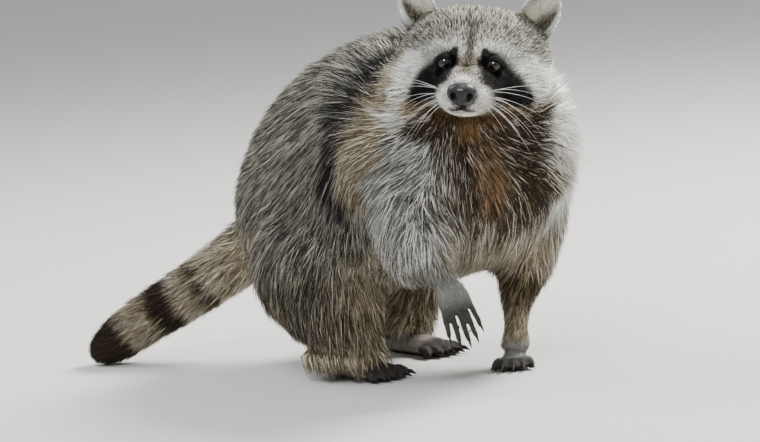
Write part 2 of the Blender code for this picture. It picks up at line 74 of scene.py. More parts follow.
# The sockets of eyes and nose in radii: the skin's place over their middle, its slope outwards, and where it ends
EYE_SOCKET, NOSE_SOCKET = 0.44, -0.25
SOCKET_SLOPE, SOCKET_FADE = 0.85, (1.3, 2.1)
# The raised hand's skin: how much it is filled out, the rounds that even it, and the heights where this ends
HAND_FULLER, HAND_ROUNDS, HAND_FADE = 0.0009, 5, (0.076, 0.092)
# The standing forepaw's wrist: its radius, how much of what is over it is drawn in, and the heights where this
# fades in and out
WRIST_RADIUS, WRIST_DRAWN = 0.0098, 0.8
WRIST_SPAN = (0.0180, 0.0225, 0.0340, 0.0460)

NOSE_DROP = math.radians(20.2)  # how far below the eyes' forward line the nose lies, seen from them


def middle(node):
    low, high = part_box(node)
    return (low + high) / 2


def head_frame():
    """The head's own frame: origin midway between the eyes, x forward along the muzzle, y left, z up."""
    left = (middle("eye_left") - middle("eye_right")).normalized()
    origin = (middle("eye_left") + middle("eye_right")) / 2
    to_nose = middle("nose") - origin
    to_nose -= left * to_nose.dot(left)
    forward = Matrix.Rotation(-NOSE_DROP, 3, left) @ to_nose.normalized()
    turn = Matrix((forward, left, forward.cross(left))).transposed()
    return Matrix.Translation(origin) @ turn.to_4x4()


HEAD = head_frame()
HEAD_TURN = np.array(HEAD.to_3x3())
HEAD_ORIGIN = np.array(HEAD.translation)
EYE_LOW, EYE_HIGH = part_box("eye_left")
EYE_RADIUS = (EYE_HIGH - EYE_LOW).z / 2
EYE_SPREAD = (middle("eye_left") - middle("eye_right")).length / 2
NOSE_LOCAL = HEAD.inverted() @ middle("nose")

# Lines along which the coat lies, from the front backwards and downwards.
# Each row is a place, then the line's reach in metres, the coat's depth and the hairs' length in millimetres.
TRUNK_LINES = {
    "spine": (
        (0.140, -0.020, 0.300, 0.050, 19, 34),
        (0.090, -0.005, 0.296, 0.050, 19, 36),
        (0.030, 0.000, 0.292, 0.050, 19, 38),
        (-0.030, 0.004, 0.280, 0.050, 19, 40),
        (-0.080, 0.006, 0.250, 0.050, 19, 42),
        (-0.115, 0.006, 0.205, 0.050, 19, 42),
        (-0.138, 0.004, 0.165, 0.040, 17, 38),
    ),
    "belly": (
        (0.160, -0.005, 0.080, 0.045, 15, 34),
        (0.080, -0.005, 0.072, 0.045, 14, 32),
        (0.000, 0.000, 0.070, 0.045, 14, 32),
        (-0.070, 0.010, 0.075, 0.045, 14, 32),
        (-0.110, 0.010, 0.060, 0.035, 14, 30),
    ),
    "chest": (
        (0.232, -0.040, 0.205, 0.035, 19, 42),
        (0.228, -0.030, 0.165, 0.040, 19, 46),
        (0.205, -0.020, 0.120, 0.040, 18, 46),
        (0.175, -0.012, 0.085, 0.035, 16, 40),
    ),
    "throat_left": (
        (0.215, 0.030, 0.215, 0.030, 19, 42),
        (0.205, 0.060, 0.160, 0.035, 19, 46),
        (0.180, 0.075, 0.110, 0.035, 18, 44),
    ),
    "throat_right": (
        (0.222, -0.090, 0.205, 0.030, 19, 42),
        (0.212, -0.096, 0.165, 0.035, 19, 46),
        (0.195, -0.092, 0.125, 0.030, 16, 40),
    ),
}
# The same on both flanks, listed for the left one
FLANK_LINES = {
    "shoulder": (
        (0.150, 0.085, 0.255, 0.035, 19, 36),
        (0.155, 0.102, 0.215, 0.040, 19, 40),
        (0.145, 0.108, 0.170, 0.040, 18, 42),
        (0.135, 0.106, 0.125, 0.035, 16, 38),
    ),
    "high_flank": (
        (0.100, 0.075, 0.270, 0.045, 19, 38),
        (0.060, 0.100, 0.235, 0.045, 19, 40),
        (0.010, 0.106, 0.205, 0.045, 19, 42),
        (-0.040, 0.095, 0.175, 0.045, 19, 42),
        (-0.090, 0.072, 0.140, 0.045, 18, 42),
        (-0.125, 0.045, 0.100, 0.040, 16, 38),
    ),
    "low_flank": (
        (0.100, 0.108, 0.185, 0.040, 18, 42),
        (0.070, 0.110, 0.150, 0.040, 18, 44),
        (0.045, 0.104, 0.115, 0.040, 17, 44),
        (0.030, 0.090, 0.085, 0.035, 15, 38),
    ),
    "haunch": (
        (-0.020, 0.104, 0.165, 0.040, 18, 42),
        (-0.035, 0.104, 0.125, 0.040, 17, 44),
        (-0.045, 0.095, 0.085, 0.035, 15, 42),
        (-0.048, 0.085, 0.055, 0.030, 12, 36),
    ),
}
TAIL_LINE = (
    (-0.083, 0.020, 0.130, 0.040, 15, 34),
    (-0.130, -0.003, 0.105, 0.040, 14, 32),
    (-0.160, -0.024, 0.082, 0.036, 14, 30),
    (-0.182, -0.040, 0.066, 0.034, 14, 30),
    (-0.204, -0.056, 0.052, 0.032, 13, 28),
    (-0.224, -0.071, 0.039, 0.030, 12, 28),
    (-0.244, -0.085, 0.0235, 0.028, 11, 26),
    (-0.259, -0.096, 0.0135, 0.024, 8, 22),
    (-0.268, -0.102, 0.0095, 0.020, 5, 16),
)
LIMB_LINES = {
    "hindleg_right": (
        (0.004, -0.056, 0.110, 0.050, 17, 42),
        (0.026, -0.060, 0.070, 0.045, 14, 40),
        (0.034, -0.055, 0.041, 0.030, 9, 28),
        (0.034, -0.050, 0.022, 0.018, 4, 12),
    ),
    "hindleg_left": (
        (-0.033, 0.068, 0.110, 0.045, 16, 42),
        (-0.026, 0.072, 0.070, 0.040, 13, 38),
        (-0.031, 0.068, 0.042, 0.028, 8, 26),
        (-0.036, 0.063, 0.022, 0.018, 4, 12),
    ),
    "foreleg_left": (
        (0.142, 0.060, 0.150, 0.045, 16, 40),
        (0.136, 0.068, 0.115, 0.040, 13, 36),
        (0.134, 0.064, 0.085, 0.030, 9, 28),
        (0.133, 0.054, 0.055, 0.022, 5, 14),
        (0.134, 0.048, 0.024, 0.016, 2, 7),
    ),
    "foreleg_right": (
        (0.150, -0.068, 0.150, 0.036, 15, 38),
        (0.163, -0.080, 0.128, 0.030, 11, 32),
        (0.176, -0.081, 0.114, 0.022, 6, 24),
        (0.187, -0.078, 0.102, 0.015, 2.5, 11),
    ),
    "hindfoot_right": (
        (0.018, -0.047, 0.012, 0.016, 1.5, 6),
        (0.060, -0.047, 0.010, 0.016, 0.8, 5),
        (0.094, -0.047, 0.004, 0.014, 0.5, 3),
    ),
    "hindfoot_left": (
        (-0.036, 0.062, 0.012, 0.016, 1.5, 6),
        (0.008, 0.060, 0.010, 0.016, 0.8, 5),
        (0.040, 0.058, 0.004, 0.014, 0.5, 3),
    ),
    "forepaw_left": (
        (0.130, 0.052, 0.016, 0.014, 1.0, 5),
        (0.148, 0.034, 0.010, 0.014, 0.8, 4),
        (0.166, 0.014, 0.004, 0.012, 0.4, 3),
    ),
    "forepaw_right": (
        (0.194, -0.074, 0.094, 0.014, 1.2, 6),
        (0.203, -0.074, 0.073, 0.014, 0.6, 4),
        (0.217, -0.074, 0.043, 0.012, 0.2, 2),
    ),
}
GUIDE_STEP = 0.012
PLACES_AT_ONCE = 20000

# The head's coat grows away from a place in the muzzle. On the muzzle it has this depth and length, and each row
# tells between which values of its measure it thickens, and what that adds to its depth and its length.
HEAD_COAT_FROM = np.array((0.062, 0.0, -0.020))
MUZZLE_COAT = (0.0022, 0.0055)
HEAD_COAT = {
    "brow": (0.012, 0.034, 0.0050, 0.0075),
    "cheek": (0.034, 0.066, 0.0130, 0.0210),
    "back": (0.025, 0.075, 0.0080, 0.0150),
    "below": (0.034, 0.058, 0.0100, 0.0180),
}
EYE_CLEAR = (0.008, 0.020)  # distances from an eye between which the coat reaches its full depth
SKULL_MIDDLE = np.array((-0.035, 0.0, -0.008))

# Ears: how far they lean outwards, from an ear's middle to its root, half their width and height, where the coat
# at their root reaches its full depth, and their own coat's depth and length
EAR_LEAN = math.radians(27.0)
EAR_HALF = 0.024
EAR_SIZE = (0.0155, 0.026)
EAR_CLEAR = (0.016, 0.050)
EAR_COAT = (0.0004, 0.0038)

# Coats of the paws and forearms: the heights between which they thicken, then their depth, their length and
# the share of the depth to which the hairs rise, each at the lower and at the upper height
PAW_COATS = {
    "forepaw_right": ((0.080, 0.128), (0.0003, 0.0103), (0.0032, 0.0272), (1.0, 1.0)),
    "forearm_right": ((0.080, 0.150), (0.0012, 0.0112), (0.0060, 0.0300), (0.8, 1.0)),
    "forepaw_left": ((0.017, 0.035), (0.0005, 0.0075), (0.0050, 0.0100), (0.8, 0.1)),
    "forearm_left": ((0.036, 0.110), (0.0072, 0.0172), (0.0110, 0.0350), (0.2, 1.0)),
    "hindfoot": ((0.014, 0.060), (0.0006, 0.0106), (0.0040, 0.0280), (1.0, 1.0)),
}

# Strokes of the face's marking, right and left alike: aside of the middle line, height over the eyes, radius
MASK = (
    (0.0120, 0.0105, 0.0030),
    (0.0160, 0.0030, 0.0074),
    (0.0240, -0.0078, 0.0108),
    (0.0330, -0.0172, 0.0118),
    (0.0425, -0.0268, 0.0085),
)
BROW = (
    (0.0075, 0.0105, 0.0046),
    (0.0120, 0.0155, 0.0055),
    (0.0220, 0.0125, 0.0062),
    (0.0340, 0.0070, 0.0078),
    (0.0440, 0.0000, 0.0090),
)
CHEEK = (
    (0.0470, -0.0020, 0.0085),
    (0.0560, -0.0150, 0.0105),
    (0.0600, -0.0300, 0.0120),
    (0.0620, -0.0460, 0.0130),
)
STREAK = ((0.0, 0.0000, 0.0030), (0.0, 0.0120, 0.0026), (0.0, 0.0240, 0.0034), (0.0, 0.0340, 0.0070))
BRIDGE = ((0.0, 0.0040, 0.0060), (0.0, -0.0090, 0.0045))
MUZZLE = ((0.0, -0.0140, 0.0085), (0.0070, -0.0235, 0.0140))
CHIN = ((0.0, -0.0345, 0.0042), (0.0090, -0.0345, 0.0036))
MOUTH = ((0.0, -0.0312, 0.0012), (0.0060, -0.0325, 0.0010), (0.0100, -0.0318, 0.0006))
JOWL = ((0.0360, -0.0370, 0.0060), (0.0450, -0.0380, 0.0080), (0.0520, -0.0420, 0.0060))
UNDER_CHIN = ((0.0, -0.0440, 0.0060), (0.0220, -0.0450, 0.0080), (0.0330, -0.0400, 0.0050))
THROAT_SIDE = ((0.0160, -0.0600, 0.0120), (0.0420, -0.0580, 0.0130))
THROAT = ((0.0, -0.0560, 0.0090), (0.0, -0.0800, 0.0110))
# How they are painted, in order: pelt, stroke, softness, where it comes in along the muzzle's way, and strength
FACE, UNDERSIDE = (-0.070, -0.045), (-0.10, -0.06)
FACE_MARKS = (
    ("brow", BROW, 0.40, FACE, 1.0),
    ("white", CHEEK, 0.40, FACE, 1.0),
    ("jowl", JOWL, 0.40, FACE, 1.0),
    ("chest", THROAT_SIDE, 0.40, UNDERSIDE, 1.0),
    ("rust", THROAT, 0.50, UNDERSIDE, 0.9),
    ("under_chin", UNDER_CHIN, 0.50, UNDERSIDE, 1.0),
    ("mask", MASK, 0.38, FACE, 1.0),
    ("bridge", BRIDGE, 0.40, (-0.02, 0.0), 1.0),
)

# The body's marking: its pelt, the values of its measures between which it comes in, and a stroke if it has one
BODY_MARKS = (
    ("spine", (("up", 0.245, 0.285), ("forward", 0.11, 0.06)), ()),
    ("shoulder", (("forward", 0.115, 0.150),), ()),
    ("dark_band", (("band", 0.090, 0.105), ("band", 0.130, 0.116), ("up", 0.12, 0.16)), ()),
    ("band", (("band", 0.120, 0.132), ("band", 0.166, 0.148), ("up", 0.13, 0.17)), ()),
    ("chest", (("breast", 0.165, 0.200), ("up", 0.26, 0.22)), ()),
    ("rust", (), ((0.235, -0.040, 0.200, 0.024), (0.222, -0.032, 0.160, 0.020), (0.205, -0.026, 0.120, 0.012))),
    # A painted rim light: the far shoulder's upper front is painted white where light from behind catches the fur
    ("rim_light_painted", (("left", 0.030, 0.058), ("forward", 0.095, 0.160), ("up", 0.11, 0.15)), ()),
    ("arm", (), ((0.165, -0.085, 0.185, 0.024), (0.165, -0.100, 0.150, 0.026), (0.185, -0.090, 0.125, 0.020))),
    ("belly", (("up", 0.135, 0.100), ("aside", 0.095, 0.060)), ()),
)

# The limbs' marking: its pelt, the nodes it covers, the heights between which it comes in, and its strength
LIMB_MARKS = (
    ("leg", ("forearm_left", "forepaw_left"), (0.125, 0.085), 1.0),
    ("leg", ("shank", "hindfoot", "thigh"), (0.120, 0.060), 0.55),
    ("shank", ("forearm_left", "forepaw_left"), (0.060, 0.035), 1.0),
    ("shank", ("shank", "hindfoot"), (0.040, 0.022), 1.0),
    ("hand", ("forearm_right", "forepaw_right"), (0.112, 0.092), 1.0),
    ("hand", ("forepaw_left",), (0.026, 0.016), 1.0),
    ("instep", ("hindfoot",), (0.030, 0.020), 1.0),
)
# Where the dark toes start on each paw, the way they run, and how soft their edge is
TOE_LINES = {
    "hindfoot_right": ((0.066, -0.047, 0.0), (1.0, 0.0, 0.0), 0.010),
    "hindfoot_left": ((0.011, 0.060, 0.0), (1.0, -0.05, 0.0), 0.010),
    "forepaw_left": ((0.1460, 0.0348, 0.0), (0.707, -0.707, 0.0), 0.010),
    "forepaw_right": ((0.1988, -0.0742, 0.0840), (0.407, 0.0, -0.914), 0.022),
}
STANDING_PAWS = ("hindfoot", "forepaw_left")
SOLE = (0.0045, 0.0025)  # heights between which their soles turn dark

# Rings of the tail: distance from its tip in metres where each ends, and its pelt
RINGS = (
    (0.044, "dark_ring"),
    (0.074, "pale_ring"),
    (0.101, "dark_ring"),
    (0.122, "pale_ring"),
    (0.142, "dark_ring"),
    (0.168, "pale_ring"),
    (0.190, "dark_ring"),
)
RING_BLUR = 0.0045

# Pelts: colours of the underfur, the hairs' middle, their dark and their pale tips, and the pale tips' share
PELTS = {
    "flank": ("charcoal", "slate", "charcoal", "cream", 0.39),
    "spine": ("umber", "slate", "charcoal", "cream", 0.45),
    "band": ("umber", "tan", "umber", "cream", 0.40),
    "dark_band": ("charcoal", "charcoal", "charcoal", "ash", 0.14),
    "shoulder": ("umber", "slate", "umber", "white", 0.48),
    "arm": ("umber", "slate", "slate", "white", 0.58),
    "chest": ("umber", "umber", "charcoal", "cream", 0.15),
    "rust": ("umber", "rust", "umber", "rust", 0.42),
    # A painted rim light, white where light from behind catches the far shoulder's fur
    "rim_light_painted": ("white", "white", "cream", "white", 0.90),
    "belly": ("tan", "tan", "umber", "cream", 0.60),
    "leg": ("umber", "umber", "charcoal", "tan", 0.38),
    "shank": ("umber", "tan", "umber", "cream", 0.50),
    "crown": ("umber", "slate", "charcoal", "cream", 0.50),
    "white": ("ash", "white", "cream", "white", 0.85),
    "brow": ("slate", "ash", "slate", "white", 0.42),
    "mask": ("black", "black", "black", "charcoal", 0.14),
    "streak": ("charcoal", "charcoal", "charcoal", "slate", 0.50),
    "bridge": ("umber", "slate", "umber", "tan", 0.60),
    "mouth": ("black", "umber", "black", "umber", 0.30),
    "jowl": ("umber", "umber", "umber", "tan", 0.60),
    "under_chin": ("umber", "umber", "black", "rust", 0.40),
    "dark_ring": ("charcoal", "charcoal", "charcoal", "umber", 0.45),
    "pale_ring": ("umber", "tan", "umber", "cream", 0.50),
    "ear_back": ("charcoal", "slate", "charcoal", "ash", 0.45),
    "ear_inside": ("tan", "cream", "cream", "white", 0.60),
    # Painted shade: darkens the lower hollow inside each ear
    "ear_cup_painted_shade": ("charcoal", "charcoal", "charcoal", "tan", 0.50),
    "hand": ("slate", "slate", "slate", "ash", 0.48),
    "instep": ("umber", "ash", "slate", "cream", 0.65),
    "toes": ("charcoal", "charcoal", "black", "umber", 0.50),
}
COLOUR_NAMES = ("black", "charcoal", "umber", "slate", "rust", "tan", "ash", "cream", "white")

# Each coat piece: how many tufts it has, their width in millimetres, and its material slot
COATS = {
    "coat_face": (30000, 0.62, "face_coat"),
    "coat_crown": (26000, 0.85, "face_coat"),
    "coat_nape": (16000, 1.00, "coat"),
    "coat_shoulder_left": (26000, 1.10, "coat"),
    "coat_shoulder_right": (26000, 1.10, "coat"),
    "coat_rump_left": (26000, 1.10, "coat"),
    "coat_rump_right": (26000, 1.10, "coat"),
    "coat_tail": (16000, 1.00, "tail_coat"),
    "coat_forelegs": (14000, 0.95, "coat"),
    "coat_hindlegs": (18000, 1.05, "coat"),
    "coat_ears": (8000, 0.60, "ear_coat"),
    "coat_paws": (13000, 0.50, "foot_coat"),
}
# The coat piece over the nodes whose names start so; head and trunk are shared out by place
COAT_OVER = {
    "tail": "coat_tail",
    "upper_arm": "coat_forelegs",
    "forearm": "coat_forelegs",
    "thigh": "coat_hindlegs",
    "shank": "coat_hindlegs",
    "ear": "coat_ears",
    "forepaw": "coat_paws",
    "hindfoot": "coat_paws",
}
FACE_STARTS = -0.022  # in the head's frame; behind it the head's coat is the crown's
FACE_DENSER = 1.6  # how much more closely the tufts stand on the face
WIDEST_AT = 0.40  # where along a tuft it is widest
TUFT_THICKNESS = 0.50  # of its width
CLUMP_OF = 16  # tufts whose tips draw together
# A tuft's corners: its root, three round its widest part, and its tip; and each corner's place on its patch
TUFT_FACES = np.array([(0, 2, 1), (0, 3, 2), (0, 1, 3), (1, 2, 4), (2, 3, 4), (3, 1, 4)])
TUFT_SPANS = np.array(
    [
        place
        for left in (0.0, 1 / 3, 2 / 3)
        for place in ((left + 1 / 6, 0.0), (left + 1 / 3, WIDEST_AT), (left, WIDEST_AT))
    ]
    + [
        place
        for left in (0.0, 1 / 3, 2 / 3)
        for place in ((left, WIDEST_AT), (left + 1 / 3, WIDEST_AT), (left + 1 / 6, 1.0))
    ]
)
PATCH = 0.003  # across, of a tuft on the bake map
LOWEST = 0.0002  # hairs end this far over the floor
SEEN_AT = 0.65  # the share of a tuft where its marking is told
ASTRAY = 0.12  # how far a tuft's way strays from its neighbours'
TUFT_LENGTH, TUFT_RISE, TUFT_WIDTH = (0.70, 1.15), (0.45, 1.0), (0.6, 1.3)  # least and most
LEAST_RISE = 0.0004
LOOSE_SHARE, LOOSE_RISE = 0.05, 1.25  # tufts that stand out of the coat, and by how much
ROOT_DEPTH = 0.0006
BEND_AT, BEND_RISE, BEND_ASIDE = 0.35, 0.95, 0.07  # of a tuft's length, of its rise, and of its length
CLUMP_PULL, CLUMP_LENGTHS = 0.55, (0.008, 0.030)
# Painted shade: the share to which the coat's colour is darkened at its roots, where the hairs shade each other
ROOT_PAINTED_SHADE = 0.6  # how dark the coat is at its roots
LIVELY = 0.26  # how much neighbouring tufts differ in lightness
SLIM_LENGTH, SLIMMEST = 0.030, 0.30  # tufts shorter than this are slimmer, down to this share
SEED, WHISKER_SEED = 11, 61

# Eyes: how far the cornea bulges and over which angle, how the eyes are turned, and how they fit their sockets
CORNEA_RISE, CORNEA_ANGLE = 0.045, 0.75
GAZE_LEFT, GAZE_UP, GAZE_IN = math.radians(4.0), math.radians(-1.0), math.radians(8.0)
EYE_FIT = 0.985
# Lids: the way they face, their opening as angles from the eye's axis and how square it is, their tilt and size,
# and how far their edges stand proud
LID_OUT, LID_UP = math.radians(-10.0), math.radians(-3.0)
OPEN_ACROSS, OPEN_UP, OPEN_DOWN = math.radians(54.0), math.radians(28.0), math.radians(33.0)
OPEN_SQUARE = 1.7
LID_TILT = math.radians(4.0)
LID_RADIUS, LID_THICK, LID_RINGS, LID_SPAN = 0.0001, 0.0004, 9, math.radians(42.0)
LID_ROLL = 0.00015
# Bare of tufts: half the width and height of each eye's opening and how far it lies outwards and down, and half
# the nose's depth, width and height
EYE_BARE, EYE_BARE_OUT, EYE_BARE_DOWN = (0.0056, 0.0042), 0.0006, 0.0004
NOSE_BARE = np.array((0.0120, 0.0100, 0.0078))
LIP_BARE = 0.0014
# The nose pad: half its depth, width and height, how square it is, and how it narrows downwards
NOSE_SIZE = Vector((0.0094, 0.0118, 0.0090))
NOSE_SQUARE, NOSE_DEEP, NOSE_TAPER = 0.14, 0.10, 0.24
NOSTRIL_AT = Vector((0.0072, 0.0054, -0.0016))
NOSTRIL_REACH, NOSTRIL_DEPTH = 0.0044, 0.0070
SLIT_AT = Vector((0.0036, 0.0096, -0.0030))
SLIT_REACH, SLIT_DEPTH = 0.0030, 0.0016
PHILTRUM_WIDTH, PHILTRUM_DEPTH = 0.0009, 0.0007
# The line between the lips, on one side, and the groove up to the nose: forward, aside and up in the head's frame
LIP_LINE = (
    (0.0500, 0.0000, -0.0310),
    (0.0492, 0.0025, -0.0321),
    (0.0470, 0.0060, -0.0325),
    (0.0430, 0.0095, -0.0318),
)
LIP_GROOVE = ((0.0540, 0.0, -0.0268), (0.0510, 0.0, -0.0287), (0.0480, 0.0, -0.0306))
LIP_RADIUS, LIP_PROUD, LIP_SIDES = 0.0007, 0.0010, 8
GROOVE_RADIUS, GROOVE_PROUD, GROOVE_SIDES = 0.0007, 0.0004, 6
# Whiskers of one side, in rows from the top down, and a few over each eye
WHISKER_ROWS, WHISKERS_A_ROW, BROW_WHISKERS = 4, 3, 3
WHISKER_RADIUS, WHISKER_STEPS, WHISKER_SIDES = 0.00013, 8, 5

# The stage: what the camera looks at, the way to it and how far, its roll and lens, and half the floor's width
AIM = Vector((0.0560, -0.0222, 0.1301))
CAMERA_WAY = Vector((0.7610, -0.6387, 0.1130))
CAMERA_AWAY = 3.0
CAMERA_ROLL = math.radians(5.0)
LENS, SENSOR = 169.1, 36.0
FLOOR_HALF = 16.0
# Lights: place round the animal, size, power and colour
LIGHTS = {
    "key": ((0.3, 1.7, 2.1), 1.0, 165.0, (1.0, 0.98, 0.95)),
    "fill": ((1.7, -2.2, 2.5), 1.1, 80.0, (0.97, 0.99, 1.0)),
    "sky": ((-1.7, -0.9, 2.5), 1.6, 50.0, (0.95, 0.98, 1.0)),
}
STUDIO_LIGHT, STUDIO_STRENGTH = (0.80, 0.82, 0.84, 1.0), 0.78


# ---------------------------------------------------------------- small tools


def settings():
    return bpy.context.scene.raccoon


def palette():
    return {name: np.array(getattr(settings(), name)) for name in COLOUR_NAMES}


def ramp(value, start, end):
    """0 before start, 1 after end, and smooth between; the other way round where start is over end."""
    share = np.clip((value - start) / (end - start), 0.0, 1.0)
    return share * share * (3.0 - 2.0 * share)


def unit(vectors):
    return vectors / np.maximum(np.linalg.norm(vectors, axis=1, keepdims=True), 1e-9)


def of_nodes(owners, *starts):
    """Which places lie on nodes whose names start so."""
    return np.logical_or.reduce([np.char.startswith(owners, start) for start in starts])


def in_head(places):
    """Places of the world in the head's frame."""
    return (places - HEAD_ORIGIN) @ HEAD_TURN


def link(name, mesh):
    piece = bpy.data.objects.new(name, mesh)
    bpy.context.scene.collection.objects.link(piece)
    return piece


def linked(name, bm):
    """Makes a finished object of a bmesh, its faces outwards and smooth."""
    bmesh.ops.recalc_face_normals(bm, faces=bm.faces)
    mesh = bpy.data.meshes.new(name)
    bm.to_mesh(mesh)
    bm.free()
    mesh.shade_smooth()
    return link(name, mesh)


def settle(piece):
    """Applies the piece's modifiers."""
    graph = bpy.context.evaluated_depsgraph_get()
    mesh = bpy.data.meshes.new_from_object(piece.evaluated_get(graph))
    old = piece.data
    piece.modifiers.clear()
    piece.data = mesh
    bpy.data.meshes.remove(old)
    return piece


def read(collection, field, width, kind=np.float32):
    values = np.empty(len(collection) * width, kind)
    collection.foreach_get(field, values)
    return values.reshape(-1, width) if width > 1 else values


def dressed(piece, material, *nodes, slot=None):
    """Gives a finished piece its material, and says what it rides on and stands for."""
    piece.data.materials.clear()
    piece.data.materials.append(material)
    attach(piece, "root")
    if nodes:
        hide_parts(*nodes)


# ---------------------------------------------------------------- how the coat lies


def all_lines():
    other_flank = [[(row[0], -row[1], *row[2:]) for row in rows] for rows in FLANK_LINES.values()]
    return [*TRUNK_LINES.values(), TAIL_LINE, *LIMB_LINES.values(), *FLANK_LINES.values(), *other_flank]


def sampled(lines):
    """Spots along the lines: places, the way each line runs there, and reach, depth and length in metres."""
    spots, ways, sizes = [], [], []
    for rows in lines:
        rows = np.array(rows, float)
        for start, end in zip(rows[:-1], rows[1:]):
            run = end[:3] - start[:3]
            count = max(1, round(float(np.linalg.norm(run)) / GUIDE_STEP))
            for index in range(count):
                row = start + (end - start) * (index + 0.5) / count
                spots.append(row[:3])
                ways.append(run / np.linalg.norm(run))
                sizes.append((row[3], row[4] / 1000, row[5] / 1000))
    return np.array(spots), np.array(ways), np.array(sizes)


def body_lie(places):
    """Direction of the hair, the coat's depth and the hair's length on trunk, legs and tail."""
    spots, ways, sizes = sampled(all_lines())
    told = np.hstack([ways, sizes[:, 1:]])
    result = np.empty((len(places), 5))
    for start in range(0, len(places), PLACES_AT_ONCE):
        part = places[start : start + PLACES_AT_ONCE]
        gap = ((part**2).sum(1)[:, None] + (spots**2).sum(1) - 2.0 * part @ spots.T).clip(0.0)
        weight = np.exp(-gap / sizes[:, 0] ** 2) + 1e-9 / (gap + 1e-4)
        result[start : start + PLACES_AT_ONCE] = weight @ told / weight.sum(1, keepdims=True)
    return result


def head_lie(local):
    """The same on the head: away from the nose, short on the muzzle and long on the cheeks."""
    forward, aside, up = local[:, 0], np.abs(local[:, 1]), local[:, 2]
    way = local - HEAD_COAT_FROM
    way[:, 1] *= 1.0 + 0.5 * ramp(aside, 0.02, 0.05)
    way[:, 2] -= 0.020 * ramp(aside, 0.035, 0.065) + 0.030 * ramp(-up, 0.030, 0.055)
    measures = {
        "brow": up,
        "cheek": aside - 0.25 * forward,
        "back": -forward,
        "below": -up - 0.4 * forward,
    }
    depth, length = MUZZLE_COAT
    for part, (start, end, deeper, longer) in HEAD_COAT.items():
        share = ramp(measures[part], start, end)
        depth = depth + deeper * share
        length = length + longer * share
    clear = ramp(np.hypot(aside - EYE_SPREAD, up), *EYE_CLEAR)
    depth *= 0.30 + 0.70 * clear
    length *= 0.50 + 0.50 * clear
    return np.hstack([unit(way) @ HEAD_TURN.T, depth[:, None], length[:, None]])


def head_share(local):
    """1 on the head, and 0 on the neck and trunk."""
    reach = np.linalg.norm(local - SKULL_MIDDLE, axis=1)
    return ramp(local[:, 0], -0.115, -0.060) * (1.0 - ramp(reach, 0.088, 0.115))


def ear_way(places):
    """Up along the nearer ear and a little back, from its root to its tip."""
    side = np.sign(in_head(places)[:, 1])
    back, up = np.full(len(places), -0.10), np.full(len(places), math.cos(EAR_LEAN))
    return unit(np.stack([back, side * math.sin(EAR_LEAN), up], 1)) @ HEAD_TURN.T


def from_ears(places):
    """Distance from the nearer ear's root."""
    gaps = []
    for word, side in SIDES.items():
        lean = np.array((0.0, side * math.sin(EAR_LEAN), math.cos(EAR_LEAN)))
        root = ear_middle(word) - EAR_HALF * lean
        gaps.append(np.linalg.norm(in_head(places) - root, axis=1))
    return np.minimum(*gaps)


def ear_middle(word):
    return in_head(np.array([middle(f"ear_{word}")]))[0]


def lie(places, owners):
    """The whole animal's coat: direction, depth, length, and how far into the depth its hairs rise."""
    local = in_head(places)
    share = head_share(local)[:, None]
    told = body_lie(places) * (1.0 - share) + head_lie(local) * share
    clear = ramp(from_ears(places), *EAR_CLEAR)
    told[:, 3] *= 0.10 + 0.90 * clear
    told[:, 4] *= 0.30 + 0.70 * clear
    ears = of_nodes(owners, "ear")
    told[ears, :3] = ear_way(places[ears])
    told[ears, 3:] = EAR_COAT
    loft = np.ones(len(places))
    for start, (heights, *coat) in PAW_COATS.items():
        paw = of_nodes(owners, start)
        above = ramp(places[paw, 2], *heights)
        depth, length, loft[paw] = (low + (high - low) * above for low, high in coat)
        told[paw, 3] = np.minimum(told[paw, 3], depth)
        told[paw, 4] = np.minimum(told[paw, 4], length)
    return np.hstack([told, loft[:, None]])


# ---------------------------------------------------------------- markings


def stroke(places, rows, soft=0.40):
    """How far inside a painted stroke each place is. A row is a point of it and its radius there."""
    rows = np.array(rows, float)
    best = np.zeros(len(places))
    for start, end in zip(rows[:-1], rows[1:]):
        axis = end[:-1] - start[:-1]
        share = np.clip((places - start[:-1]) @ axis / (axis @ axis), 0.0, 1.0)
        nearest = start[:-1] + share[:, None] * axis
        radius = start[-1] + share * (end[-1] - start[-1])
        gap = np.linalg.norm(places - nearest, axis=1) / radius
        best = np.maximum(best, 1.0 - ramp(gap, 1.0 - soft, 1.0 + soft))
    return best


def pelt_row(name):
    colours = palette()
    *names, share = PELTS[name]
    return np.concatenate([*(colours[colour] for colour in names), (share,)])


def painted(pelts, name, share):
    return pelts + (pelt_row(name) - pelts) * np.clip(share, 0.0, 1.0)[:, None]


def along_tail(places):
    """Distance from the tail's tip along its line."""
    rows = np.array(TAIL_LINE)[::-1, :3]
    best = np.full(len(places), 9.0)
    told = np.zeros(len(places))
    passed = 0.0
    for start, end in zip(rows[:-1], rows[1:]):
        axis = end - start
        length = float(np.linalg.norm(axis))
        share = np.clip((places - start) @ axis / length**2, 0.0, 1.0)
        gap = np.linalg.norm(places - start - share[:, None] * axis, axis=1)
        nearer = gap < best
        best[nearer] = gap[nearer]
        told[nearer] = passed + share[nearer] * length
        passed += length
    return told


def paint_body(pelts, places):
    x, y, z = places.T
    measures = {
        "forward": x,
        "left": y,
        "up": z,
        "aside": np.abs(y),
        "band": x - 0.35 * (z - 0.23) - 0.55 * np.clip(0.17 - z, 0.0, 1.0),
        "breast": x - 0.2 * np.abs(y + 0.02),
    }
    for pelt, ramps, line in BODY_MARKS:
        share = stroke(places, line) if line else np.ones(len(places))
        for measure, start, end in ramps:
            share = share * ramp(measures[measure], start, end)
        pelts = painted(pelts, pelt, share)
    return pelts


def paint_limbs(pelts, places, owners):
    z = places[:, 2]
    for pelt, starts, heights, strength in LIMB_MARKS:
        pelts = painted(pelts, pelt, of_nodes(owners, *starts) * ramp(z, *heights) * strength)
    for paw, (start, way, blur) in TOE_LINES.items():
        ahead = (places - np.array(start)) @ np.array(way)
        pelts = painted(pelts, "toes", of_nodes(owners, paw) * ramp(ahead, 0.0, blur))
    return painted(pelts, "toes", of_nodes(owners, *STANDING_PAWS) * ramp(z, *SOLE))


